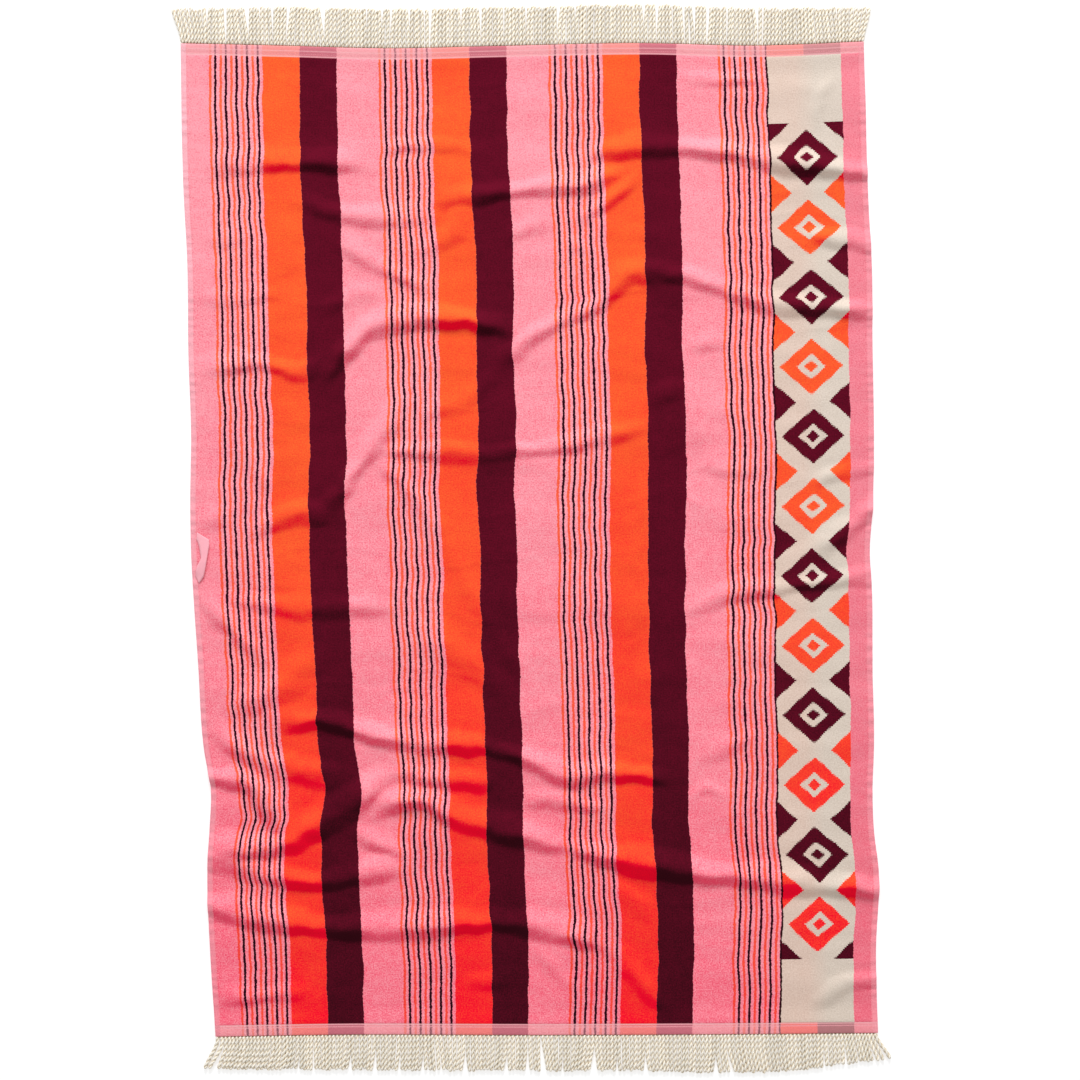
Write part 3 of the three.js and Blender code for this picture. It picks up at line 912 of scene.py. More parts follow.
    def _end_hem(self, colour: Value, panel: Value, dark_line: Value, maroon: Value) -> Value:
        """Paler flat weave of the end hems.

        Args:
            colour: Colour of the pile.
            panel: Mask of the cream panel.
            dark_line: Mask of the cores of the thin dark lines.
            maroon: Mask of the maroon stripes.

        Returns:
            The colour of the weave.
        """
        graph, yarn, hem = self.graph, self.palette, self.hem
        on_left = self.u.below(self.plan.stripes.panel_centre * MM, 1 * MM)
        halves = graph.mix(on_left, self.dyed_and_shaded(yarn.maroon), self.dyed_and_shaded(yarn.orange))
        inner_line = self.along.below(0.5, 0.1) * hem.inner_line_shift + hem.inner_line
        inner_half, outer_half = (half * MM for half in hem.line_half)
        soft = hem.line_soft * MM
        pale = (self.from_end - inner_line * MM).bar(0.0, inner_half, soft) * hem.inner_share
        pale = pale + self.from_end.bar(hem.outer_line * MM, outer_half, soft) * hem.outer_share
        layers = (
            (panel, halves),
            (hem.weft_at_top - self.along * hem.weft_loss, yarn.weft),
            (maroon.least(1 - panel) * hem.maroon, yarn.hem_maroon),
            (dark_line * hem.dark_lines, yarn.hem_dark),
            (pale, yarn.hem_line),
        )
        for mask, woven in layers:
            colour = graph.mix(mask, colour, woven)
        return colour

    def _side_hems(self, colour: Value) -> Value:
        """The colour with the folded side hems, which show the ends of the weft as small ticks."""
        graph, yarn, hem = self.graph, self.palette, self.hem
        from_side = self.u.least(self.plan.width * MM - self.u)
        mask = from_side.below(hem.side * MM, 1.0 * MM)
        on_left = self.u.below(100 * MM, 1 * MM)
        left_hem = graph.mix(self.along, yarn.left_hem_top, yarn.left_hem_low)
        woven = graph.mix(on_left, yarn.hem_pink, left_hem)
        slanted = {"X": self.u * 0.35 + self.v * 0.5, "Y": self.v}
        ticks = graph.noise(graph.node("ShaderNodeCombineXYZ", {}, slanted), 260.0, 1.0)
        woven = graph.brighten(woven, 1 + (ticks - 0.5) * hem.ticks)
        return graph.mix(mask * (hem.right_share + on_left * hem.left_more), colour, woven)

    def flat_weave(self, warp_pitch: float = 2.3 * MM, weft_pitch: float = 1.5 * MM) -> Value:
        """Height of the plain weave of the end hems, from 0 to 1."""
        step = (self.v / weft_pitch).floor() * math.pi
        warp = (self.u * (2 * math.pi / warp_pitch) + step).sine()
        weft = (self.v * (2 * math.pi / weft_pitch)).sine()
        return abs(warp) * 0.6 + abs(weft) * 0.4


@dataclass(frozen=True)
class Velour:
    """Sheared pile on the towel's face."""

    name: str = "velour_pile"
    palette: TowelPalette = TowelPalette()
    speckle: float = 0.36
    relief: float = 0.6
    depth: float = 1.1 * MM
    weave_share: float = 0.5

    def make(self, plan: TowelPlan) -> bpy.types.Material:
        """Build the material."""
        material, graph, shader = new_material(self.name)
        pattern = TowelPattern(graph, self.palette, plan)
        colour = pattern.colour()
        # Random speckle of the pile, darker where its relief is low, so it is partly painted shade.
        tone = 1 + (0.5 - pattern.tuft) * self.speckle
        pile = (1 - pattern.end_hem) * (1 - pattern.tuft * 0.8 - pattern.patch * 0.2)
        relief = pile + pattern.end_hem * pattern.flat_weave() * self.weave_share
        plug(
            graph,
            shader,
            Base_Color=graph.brighten(colour, tone),
            Roughness=0.95,
            Specular_IOR_Level=0.03,
            Sheen_Weight=0.02,
            Sheen_Roughness=0.5,
            Normal=graph.bump(relief, self.relief, self.depth),
        )
        return material


@dataclass(frozen=True)
class Terry:
    """Uncut loops on the towel's underside, in the same stripes."""

    name: str = "terry_loops"
    palette: TowelPalette = TowelPalette()
    edge_wander: float = 4.5 * MM
    edge_soft: float = 1.4 * MM
    relief: float = 0.9
    depth: float = 1.2 * MM

    def make(self, plan: TowelPlan) -> bpy.types.Material:
        """Build the material."""
        material, graph, shader = new_material(self.name)
        pattern = TowelPattern(graph, self.palette, plan)
        colour = pattern.colour(self.edge_wander, self.edge_soft)
        loops = graph.node("ShaderNodeTexVoronoi", {}, {"Vector": pattern.uv, "Scale": 420.0})
        # Painted shade: the loops darken towards their edges, where the relief is low.
        tone = 1.08 - loops * 0.35
        bump = graph.bump(1 - loops, self.relief, self.depth)
        plug(graph, shader, Base_Color=graph.brighten(colour, tone), Roughness=0.95, Normal=bump)
        plug(graph, shader, Specular_IOR_Level=0.15)
        return material


@dataclass(frozen=True)
class RopeYarn:
    """Natural cotton of the twisted ropes and their heading tape, with painted shade in the hollows between
    plies and on the ropes' lower parts.
    """

    name: str = "natural_rope"
    light: Colour = linear(255, 249, 236)
    groove: Colour = linear(228, 212, 184)
    deep_and_shaded: Colour = linear(206, 182, 144)
    top_height: float = 4.9 * MM
    full_shade_height: float = 2.6 * MM

    def make(self) -> bpy.types.Material:
        """Build the material."""
        material, graph, shader = new_material(self.name)
        place = graph.node("ShaderNodeTexCoord", {}).output("Object")
        groove, tone = graph.attribute("groove"), graph.attribute("tone")
        fibres = graph.noise(place, 1500.0, 2.0, 0.6)
        # Painted shade: tan where the plies meet, and darker tan on parts below the rope's top.
        colour = graph.mix(groove, self.light, self.groove)
        height = graph.node("ShaderNodeSeparateXYZ", {}, {"Vector": place}).output("Z")
        height_shade = (self.top_height - height) / (self.top_height - self.full_shade_height)
        colour = graph.mix(height_shade.clamped(), colour, self.deep_and_shaded)
        bright = 1 + (fibres - 0.5) * 0.25 + (tone - 0.5) * 0.14
        bump = graph.bump(fibres, 0.5, 0.4 * MM)
        plug(graph, shader, Base_Color=graph.brighten(colour, bright), Roughness=0.9, Normal=bump)
        plug(graph, shader, Specular_IOR_Level=0.2)
        return material


@dataclass(frozen=True)
class WovenTape:
    """Flat cotton tape with fine cross ribs, read along the piece's UV map."""

    name: str
    colour: Colour
    rib: float = 1.1 * MM
    yarn: float = 0.7 * MM

    def make(self) -> bpy.types.Material:
        """Build the material."""
        material, graph, shader = new_material(self.name)
        flat = graph.node("ShaderNodeUVMap", {"uv_map": "flat"})
        split = graph.node("ShaderNodeSeparateXYZ", {}, {"Vector": flat})
        ribs = (split.output("Y") * (2 * math.pi / self.rib)).sine()
        yarns = (split * (2 * math.pi / self.yarn)).sine()
        weave = ribs * 0.5 + yarns * 0.5
        soft = graph.noise(flat, 350.0, 2.0)
        # Slightly lighter on the ribs' crests and darker between them, which is painted shade; the soft
        # noise is random tone.
        tone = 1 + weave * 0.04 + (soft - 0.5) * 0.12
        bump = graph.bump(weave, 0.4, 0.3 * MM)
        plug(graph, shader, Base_Color=graph.brighten(self.colour, tone), Roughness=0.85, Normal=bump)
        plug(graph, shader, Specular_IOR_Level=0.2)
        return material


@dataclass(frozen=True)
class Thread:
    """Sewing thread of the hems."""

    name: str = "sewing_thread"
    colour: Colour = linear(250, 168, 180)

    def make(self) -> bpy.types.Material:
        """Build the material."""
        material, graph, shader = new_material(self.name)
        place = graph.node("ShaderNodeTexCoord", {}).output("Object")
        twist = graph.noise(place, 2400.0, 1.0)
        plug(graph, shader, Base_Color=graph.brighten(self.colour, 0.9 + twist * 0.2), Roughness=0.6)
        return material


@dataclass
class TowelCloth:
    """The towel's cloth with its hems: a sheet with a face and an underside."""

    plan: TowelPlan
    wrinkles: Wrinkles
    sizes: ClothSizes
    shift: tuple[float, float]

    def surface(self, u: Array, v: Array) -> tuple[Array, Array, Array, Array]:
        """Place of the cloth at flat places, in mm.

        Args:
            u: Distance from the left edge.
            v: Distance from the bottom hem's edge.

        Returns:
            X, Y, underside height and face height.
        """
        size = self.sizes
        x, y = self.plan.place(u, v)
        from_end = np.minimum(v, self.plan.length - v)
        from_side = np.minimum(u, self.plan.width - u)
        calm = ramp(from_end, *size.calm)
        inner = ramp(from_side, *size.still_sides) * ramp(from_end, *size.still_ends)
        ridges = self.wrinkles.height(x, y)
        broad_sway, fold_sway = drift(x / 90, y / 34, 5.3), drift(x / 60, y / 90, 8.9)
        sway = size.wander * broad_sway + size.wander_on_folds * ridges * fold_sway
        x = x + 2 * sway * inner
        lifted = size.hem_lift * (1 - ramp(from_end, size.hem_flat, size.hem_eased))
        power = self.wrinkles.join_power
        rise = (ridges**power + lifted**power) ** (1 / power)
        low = rise + self.wrinkles.swelling(x, y) * calm
        hem_mask = 1 - ramp(from_end, size.end_hem - 0.6, size.end_hem + 1.8)
        side_mask = 1 - ramp(from_side, size.side_hem - 0.2, size.side_hem + 1.2)
        thick = size.pile + (size.side_hem_thickness - size.pile) * side_mask
        thick = thick + (size.end_hem_thickness - thick) * hem_mask
        seams = (1 - ramp(abs(from_side - size.side_hem), 0, size.seam_half)) * (from_end > 2)
        seams = seams + (1 - ramp(abs(from_end - size.end_seam), 0, size.seam_half)) * hem_mask
        high = low + thick - size.seam_depth * np.clip(seams, 0, 1)
        edge = np.minimum(from_side, from_end)
        rounding = (1 - np.sqrt(np.clip(edge / size.roll, 0, 1))) * thick * size.roll_depth
        short, middle, long = size.pucker_waves
        gathers = np.sin(y / short + 2.1 * np.sin(y / middle)) * np.sin(y / long + 0.6)
        gathers = gathers * (1 - ramp(from_side, *size.pucker_ends)) * calm * size.pucker
        low = np.clip(low + gathers, 0, None)
        return x, y, low + rounding, np.maximum(high + gathers - rounding, low + size.thinnest)

    @staticmethod
    def _axis(near_edge: Sequence[float], length: float, cells: int) -> Array:
        """Grid lines from 0 to length, close together at both edges; cells is even."""
        inner = np.linspace(near_edge[-1], length - near_edge[-1], cells + 1)
        mirrored = [length - place for place in reversed(near_edge)]
        return np.array([*near_edge[:-1], *inner, *mirrored[1:]])

    def build(self) -> bpy.types.Object:
        """Make the sheet's mesh with its flat UV map; the underside has every second grid line."""
        size = self.sizes
        near_side = (0, 0.5, 1.4, 3, 5.5, 7.3, 7.8, 8.2, 8.7, 9.4, 11, 14)
        near_end = (0, 0.5, 1.4, 4, 8, 10.9, 11.4, 11.8, 12.2, 12.7, 14, 15.6, 16.2, 16.9, 19, 23)
        us = self._axis(near_side, self.plan.width, size.column_count)
        vs = self._axis(near_end, self.plan.length, size.row_count)
        u, v = np.meshgrid(us, vs)
        x, y, low, high = self.surface(u, v)
        plan = (np.stack([x, y], axis=-1) + self.shift) * MM
        face = np.dstack([plan, high * MM])
        under = np.dstack([plan, low * MM])[::2, ::2]

        fine = np.arange(u.size).reshape(u.shape)
        coarse = np.arange(u[::2, ::2].size).reshape(u[::2, ::2].shape) + u.size
        rim, base = grid_rim(fine), grid_rim(coarse)
        wall = np.stack([rim[::2], base, np.roll(base, -1), np.roll(rim[::2], -1), rim[1::2]], axis=1)
        polygons = [grid_quads(fine), grid_quads(coarse)[:, ::-1], wall]
        points = np.concatenate([face.reshape(-1, 3), under.reshape(-1, 3)])
        piece = mesh_object("towel_cloth", points, polygons)
        # Painted shade on slopes that drop away from the key light, stored for the face's colour.
        slope_shade = self._slope_shade(y, low, v)
        slope_shade = np.concatenate([slope_shade.ravel(), slope_shade[::2, ::2].ravel()]).astype(np.float32)
        piece.data.attributes.new("slope_shade", "FLOAT", "POINT").data.foreach_set("value", slope_shade)
        flat = np.stack([u, v], axis=-1) * MM
        flat_uv(piece, np.concatenate([flat.reshape(-1, 2), flat[::2, ::2].reshape(-1, 2)]))
        slots = np.repeat([0, 1, 0], [len(faces) for faces in polygons]).astype(np.int32)
        piece.data.polygons.foreach_set("material_index", slots)
        return piece

    def _slope_shade(self, y: Array, low: Array, v: Array) -> Array:
        """Painted shade where the cloth drops away to -Y, away from the key light, and painted light (below
        0) where it rises towards it.
        """
        slope = np.gradient(low, axis=0) / np.gradient(y, axis=0)
        slope = slope * ramp(np.minimum(v, self.plan.length - v), 16, 34)
        size = self.sizes
        falling = np.clip(slope, 0, None) ** 2
        painted_shade = size.nap_fall * falling / (falling + size.nap_slope**2)
        return painted_shade + size.nap_rise * np.clip(slope, -0.5, 0)

    def dress(self, piece: bpy.types.Object) -> None:
        """Give the face its velour and the underside its loops."""
        piece.data.materials.append(Velour().make(self.plan))
        piece.data.materials.append(Terry().make(self.plan))
        shade_smooth(piece)


@dataclass(frozen=True)
class Gap:
    """A gap between two locks of rope.

    Its place at the hem and its two sides at the tips are in mm. Its depth is the share of the
    ropes' length over which it opens, from the tips.
    """

    root: float
    left: float
    right: float
    depth: float


TOP_GAPS = (
    Gap(-526, -541, -541, 0.8),
    Gap(-488, -489, -485, 0.4),
    Gap(-460, -464, -459, 0.9),
    Gap(-426, -433, -425, 0.65),
    Gap(-410, -412, -409, 0.7),
    Gap(-391, -394, -390, 0.4),
    Gap(-372, -371, -366, 0.8),
    Gap(-315, -323, -314, 0.75),
    Gap(-253, -255, -252, 0.3),
    Gap(-233, -233, -228, 0.35),
    Gap(-221, -220, -216, 0.75),
    Gap(-190, -194, -190, 0.45),
    Gap(-170, -171, -168, 0.5),
    Gap(-161, -163, -158, 0.6),
    Gap(-116, -118, -114, 0.25),
    Gap(-86, -90, -85, 0.6),
    Gap(-53, -54, -52, 0.7),
    Gap(-21, -22, -19, 0.55),
    Gap(25, 25, 30, 0.5),
    Gap(51, 50, 53, 0.25),
    Gap(151, 149, 155, 0.3),
    Gap(170, 168, 174, 0.85),
    Gap(195, 192, 194, 0.85),
    Gap(212, 208, 212, 0.7),
    Gap(226, 222, 227, 0.6),
    Gap(244, 244, 248, 0.95),
    Gap(273, 273, 275, 0.8),
    Gap(318, 314, 319, 0.4),
    Gap(326, 325, 328, 0.75),
    Gap(437, 432, 434, 0.8),
    Gap(474, 485, 485, 0.8),
)
BOTTOM_GAPS = (
    Gap(-475, -494, -494, 0.8),
    Gap(-462, -481, -473, 0.5),
    Gap(-352, -356, -352, 0.25),
    Gap(-332, -333, -330, 0.85),
    Gap(-277, -281, -275, 0.35),
    Gap(-240, -245, -239, 0.55),
    Gap(-204, -209, -204, 0.45),
    Gap(-171, -175, -170, 0.35),
    Gap(-149, -145, -143, 0.85),
    Gap(-108, -114, -105, 0.3),
    Gap(-48, -53, -46, 0.3),
    Gap(-18, -22, -15, 0.35),
    Gap(1, 1, 9, 0.8),
    Gap(34, 31, 35, 0.25),
    Gap(80, 73, 84, 0.6),
    Gap(113, 111, 115, 0.3),
    Gap(155, 152, 158, 0.3),
    Gap(258, 254, 262, 0.25),
    Gap(274, 279, 284, 0.45),
    Gap(416, 415, 417, 0.6),
    Gap(444, 447, 450, 0.8),
    Gap(479, 489, 493, 0.75),
    Gap(488, 505, 509, 0.8),
    Gap(494, 517, 517, 0.8),
)
TOP_REACH: tuple[Point2, ...] = ((-527, 51), (-400, 56), (0, 57), (300, 56), (474, 51))
BOTTOM_REACH: tuple[Point2, ...] = ((-476, 48), (-300, 52), (100, 53), (400, 52), (496, 38))


@dataclass(frozen=True)
class RopeSizes:
    """Sizes of the twisted ropes and their heading tape, in mm."""

    pitch: float = 5.4
    ply_radius: float = 2.08
    ply_offset: float = 0.82
    turn: float = 17.0
    uneven_turn: float = 0.05
    under_hem: float = 2.2
    root_scale: float = 0.44
    clearance: float = 0.12
    swell_over: float = 2.6
    tip_over: float = 2.6
    tip_scale: float = 0.3
    tip_stray: float = 0.5
    shorter: float = 1.8
    longer: float = 1.4
    sway: float = 0.7
    lift: float = 0.9
    lift_over: float = 20.0
    lean_from: float = 0.75
    lean_to: float = 1.15
    stations: int = 16
    closer_at_root: float = 1.7
    rings: int = 44
    sides: int = 7
    tape_stations: int = 60
    tape_bottom: float = 0.05
    tape_thickness: float = 1.2
    tape_under: float = 10.0
    tape_beyond: float = 2.2
    tape_margin: float = 1.5

    @property
    def radius(self) -> float:
        """Half of the rope's greatest width."""
        return self.ply_radius + self.ply_offset


def new_tree(name: str, inputs: Sequence[tuple[str, str]]) -> tuple[Graph, Value]:
    """Start a Geometry Nodes tree that takes a geometry, named inputs and a material.

    Args:
        name: The tree's name.
        inputs: Name and kind of each input.

    Returns:
        The tree's graph and the node that gives the inputs.
    """
    tree = bpy.data.node_groups.new(name, "GeometryNodeTree")
    for label, kind in (("Geometry", "Geometry"), *inputs, ("Material", "Material")):
        tree.interface.new_socket(label, in_out="INPUT", socket_type=f"NodeSocket{kind}")
    tree.interface.new_socket("Geometry", in_out="OUTPUT", socket_type="NodeSocketGeometry")
    graph = Graph(tree)
    return graph, graph.node("NodeGroupInput")


def end_tree(graph: Graph, given: Value, geometry: Value) -> bpy.types.NodeTree:
    """End a tree in plain smooth faces that have the given material."""
    for kind in ("GeometryNodeRealizeInstances", "GeometryNodeSetShadeSmooth"):
        geometry = graph.node(kind, {}, {"Geometry": geometry})
    inputs = {"Geometry": geometry, "Material": given.output("Material")}
    geometry = graph.node("GeometryNodeSetMaterial", {}, inputs)
    graph.node("NodeGroupOutput", {}, {"Geometry": geometry})
    return graph.tree


def apply_tree(
    piece: bpy.types.Object, tree: bpy.types.NodeTree, values: dict[str, Any]
) -> bpy.types.Object:
    """Run Geometry Nodes on a piece and keep the result as its plain mesh.

    Args:
        piece: Object to run on.
        tree: The node tree.
        values: Value of each named input.

    Returns:
        The piece, with its new mesh and no modifier.
    """
    modifier = piece.modifiers.new("making", "NODES")
    modifier.node_group = tree
    for item in tree.interface.items_tree:
        if item.item_type == "SOCKET" and item.in_out == "INPUT" and item.name in values:
            modifier[item.identifier] = values[item.name]
    depsgraph = bpy.context.evaluated_depsgraph_get()
    made = bpy.data.meshes.new_from_object(piece.evaluated_get(depsgraph), depsgraph=depsgraph)
    piece.modifiers.remove(modifier)
    old = piece.data
    piece.data = made
    made.name = piece.name
    bpy.data.meshes.remove(old)
    return piece


class RopeTree:
    """Geometry Nodes that twist two plies along each centre line of a rope."""

    LENGTHS = ("ply_radius", "ply_offset", "turn", "under_hem", "swell_over", "tip_over")
    SHARES = ("uneven_turn", "root_scale", "tip_scale")
    COUNTS = ("rings", "sides")

    def __init__(self) -> None:
        """Build the tree once."""
        inputs = [(name, "Float") for name in (*self.LENGTHS, *self.SHARES)]
        inputs += [(name, "Int") for name in (*self.COUNTS, "seed")]
        self.graph, self.given = new_tree("twisted_rope", inputs)
        self.tree = end_tree(self.graph, self.given, self._ropes())

    def _ropes(self) -> Value:
        """Lay out the nodes and give the ropes."""
        graph, given = self.graph, self.given
        line = graph.node("GeometryNodeMeshToCurve", {}, {"Mesh": given})
        line = graph.node("GeometryNodeResampleCurve", {}, {"Curve": line, "Count": given.output("rings")})
        run = graph.node("GeometryNodeSplineParameter").output("Length")
        from_tip = graph.node("GeometryNodeSplineLength") - run
        chance = self._per_rope(0)
        turns = run / given.output("turn") * (1 + (chance - 0.5) * given.output("uneven_turn"))
        tilt = turns * (2 * math.pi) + chance * 0.9
        line = graph.node("GeometryNodeSetCurveTilt", {}, {"Curve": line, "Tilt": tilt})
        line = self._store(line, "tone", self._per_rope(1))
        root = ((run - given.output("under_hem")) / given.output("swell_over")).clamped()
        tip = (from_tip / given.output("tip_over")).clamped()
        root_scale, tip_scale = given.output("root_scale"), given.output("tip_scale")
        grow = root_scale + (1 - root_scale) * root
        close = tip_scale + (1 - tip_scale) * (1 - (1 - tip) ** 2) ** 0.5
        inputs = {"Curve": line, "Profile Curve": self._profile(), "Scale": grow * close, "Fill Caps": True}
        return graph.node("GeometryNodeCurveToMesh", {}, inputs)

    def _per_rope(self, salt: int) -> Value:
        """Random number from 0 to 1, one for each rope."""
        settings = {"domain": "CURVE", "data_type": "INT"}
        number = {"Value": self.graph.node("GeometryNodeInputIndex")}
        on_rope = self.graph.node("GeometryNodeFieldOnDomain", settings, number)
        seed = self.given.output("seed") + salt
        inputs = {"Min_001": 0.0, "Max_001": 1.0, "ID": on_rope, "Seed": seed}
        return self.graph.node("FunctionNodeRandomValue", {"data_type": "FLOAT"}, inputs)

    def _store(self, geometry: Value, name: str, value: Value) -> Value:
        """Keep a number on the points under a name."""
        settings = {"data_type": "FLOAT", "domain": "POINT"}
        inputs = {"Geometry": geometry, "Name": name, "Value": value}
        return self.graph.node("GeometryNodeStoreNamedAttribute", settings, inputs)

    def _profile(self) -> Value:
        """Two circles side by side, with a number that is 1 where they meet, for painted shade there."""
        graph, given = self.graph, self.given
        radius, offset = given.output("ply_radius"), given.output("ply_offset")
        inputs = {"Resolution": given.output("sides"), "Radius": radius}
        circle = graph.node("GeometryNodeCurvePrimitiveCircle", {"mode": "RADIUS"}, inputs)
        both = []
        for side in (1, -1):
            moved = graph.node("ShaderNodeCombineXYZ", {}, {"X": offset * side})
            inputs = {"Geometry": circle, "Translation": moved}
            both.append(graph.node("GeometryNodeTransform", {}, inputs))
        pair = graph.node("GeometryNodeJoinGeometry", {}, {"Geometry": both})
        place = graph.node("ShaderNodeSeparateXYZ", {}, {"Vector": graph.node("GeometryNodeInputPosition")})
        outward = abs(place) / (radius + offset)
        return self._store(pair, "groove", ((0.62 - outward) * 2.4).clamped())

    def lay(
        self, piece: bpy.types.Object, size: RopeSizes, seed: int, material: bpy.types.Material
    ) -> bpy.types.Object:
        """Turn a piece of centre lines into ropes.

        Args:
            piece: Object whose mesh holds the centre lines.
            size: Sizes of the ropes.
            seed: Seed of what differs from rope to rope.
            material: Material of the ropes.

        Returns:
            The piece, with its new mesh.
        """
        values = {name: getattr(size, name) * MM for name in self.LENGTHS}
        values.update({name: getattr(size, name) for name in (*self.SHARES, *self.COUNTS)})
        return apply_tree(piece, self.tree, {**values, "seed": seed, "Material": material})


@dataclass
class RopedFringe:
    """One end's fringe: twisted ropes in locks, sewn to a heading tape under the end hem."""

    end: End
    gaps: tuple[Gap, ...]
    reach: tuple[Point2, ...]
    sizes: RopeSizes
    shift: tuple[float, float]
    seed: int

    @property
    def label(self) -> str:
        """Word for this end in the names of pieces."""
        return self.end.name.lower()

    def _lines(self) -> list[Array]:
        """Centre line of each rope, from under the hem to the tip, in mm."""
        chance = random.Random(self.seed)
        lines = []
        for left, right in zip(self.gaps[:-1], self.gaps[1:]):
            width = (right.root - left.root + right.left - left.right) / 2
            count = max(1, round(width / self.sizes.pitch))
            for k in range(count):
                share = (k + 0.5) / count
                lines.append(self._line(left, right, share, chance))
        return lines

    def _line(self, left: Gap, right: Gap, share: float, chance: random.Random) -> Array:
        """Centre line of one rope of a lock."""
        size = self.sizes
        root_x = left.root + (right.root - left.root) * share
        tip_x = left.right * (1 - share) + right.left * share
        tip_x += chance.uniform(-size.tip_stray, size.tip_stray)
        depth = left.depth * (1 - share) + right.depth * share
        reach = float(smooth_between(*zip(*self.reach), np.array(root_x)))
        length = reach + chance.uniform(-size.shorter, size.longer)
        edge = float(self.end.edge(np.array(root_x)))
        t = np.linspace(0, 1, size.stations) ** size.closer_at_root
        run = t * (length + size.under_hem) - size.under_hem
        leaning = (size.lean_from - depth, size.lean_to)
        lean = ramp(run / length, *leaning) / ramp(1.0, *leaning)
        sway = chance.uniform(-size.sway, size.sway) * np.sin(math.pi * t)
        x = root_x + (tip_x - root_x) * lean + sway
        y = edge + self.end.outward * run
        lift = chance.uniform(0.0, size.lift)
        swell = size.root_scale + (1 - size.root_scale) * np.clip(run / size.swell_over, 0, 1)
        z = size.radius * swell + size.clearance + lift * ramp(run, 0, size.lift_over) * np.sin(math.pi * t)
        return np.stack([x + self.shift[0], y + self.shift[1], z], axis=1)

    def build_ropes(self, tree: RopeTree, material: bpy.types.Material) -> list[bpy.types.Object]:
        """Make the ropes as two joined meshes, the left and the right half of the end."""
        lines = [line * MM for line in self._lines()]
        middle = len(lines) // 2
        made = []
        for half, chosen in (("left", lines[:middle]), ("right", lines[middle:])):
            piece = lines_object(f"fringe_{self.label}_{half}", chosen)
            made.append(tree.lay(piece, self.sizes, self.seed + len(made), material))
        return made

    def build_tape(self, material: bpy.types.Material) -> bpy.types.Object:
        """Make the heading tape, a thin ribbon half under the hem."""
        size = self.sizes
        ends = (self.gaps[0].root + size.tape_margin, self.gaps[-1].root - size.tape_margin)
        xs = np.linspace(*ends, size.tape_stations)
        edge = self.end.edge(xs)
        sides = (edge + self.end.outward * size.tape_beyond, edge - self.end.outward * size.tape_under)
        low, high = np.minimum(*sides), np.maximum(*sides)
        bottom, top = np.full_like(xs, size.tape_bottom), np.full_like(xs, size.tape_thickness)
        section = ((low, bottom), (high, bottom), (high, top), (low, top))
        corners = [np.stack([xs + self.shift[0], y + self.shift[1], z], axis=1) for y, z in section]
        ring = np.arange(xs.size * len(corners)).reshape(xs.size, len(corners))
        around = grid_quads(np.hstack([ring, ring[:, :1]]))
        points = np.stack(corners, axis=1).reshape(-1, 3) * MM
        piece = mesh_object(f"heading_tape_{self.label}", points, [around, ring[:1, ::-1], ring[-1:]])
        orient_outward(piece)
        piece.data.shade_flat()
        flat_uv(piece, points[:, :2])
        piece.data.materials.append(material)
        return piece


def orient_outward(piece: bpy.types.Object) -> None:
    """Turn every face of a closed piece outwards."""
    work = bmesh.new()
    work.from_mesh(piece.data)
    bmesh.ops.recalc_face_normals(work, faces=work.faces)
    work.to_mesh(piece.data)
    work.free()


def flat_uv(piece: bpy.types.Object, flat: Array) -> None:
    """UV map named flat, from the flat place of each vertex in metres."""
    mesh = piece.data
    numbers = np.empty(len(mesh.loops), np.int32)
    mesh.loops.foreach_get("vertex_index", numbers)
    layer = mesh.uv_layers.new(name="flat")
    layer.data.foreach_set("uv", flat[numbers].astype(np.float32).ravel())


@dataclass(frozen=True)
class LoopSection:
    """One section of the hanging loop's tape, in mm: plan and height over the cloth of its edges."""

    inner: Point2
    outer: Point2
    inner_lift: float
    outer_lift: float


LOOP_SECTIONS = (
    LoopSection((-503.0, 0.6), (-502.2, 11.4), 0.1, 0.1),
    LoopSection((-501.2, -2.0), (-494.6, 6.8), 0.5, 0.7),
    LoopSection((-500.4, -4.4), (-484.3, 0.4), 0.9, 1.6),
    LoopSection((-499.0, -9.0), (-483.6, -5.6), 1.2, 2.0),
    LoopSection((-496.0, -26.6), (-486.2, -21.6), 1.6, 3.4),
    LoopSection((-498.0, -31.0), (-488.2, -34.0), 1.5, 4.2),
    LoopSection((-502.0, -38.0), (-490.0, -44.2), 1.2, 4.0),
    LoopSection((-503.8, -44.0), (-492.2, -53.4), 0.8, 2.8),
    LoopSection((-504.4, -52.0), (-499.2, -63.8), 0.2, 0.2),
)


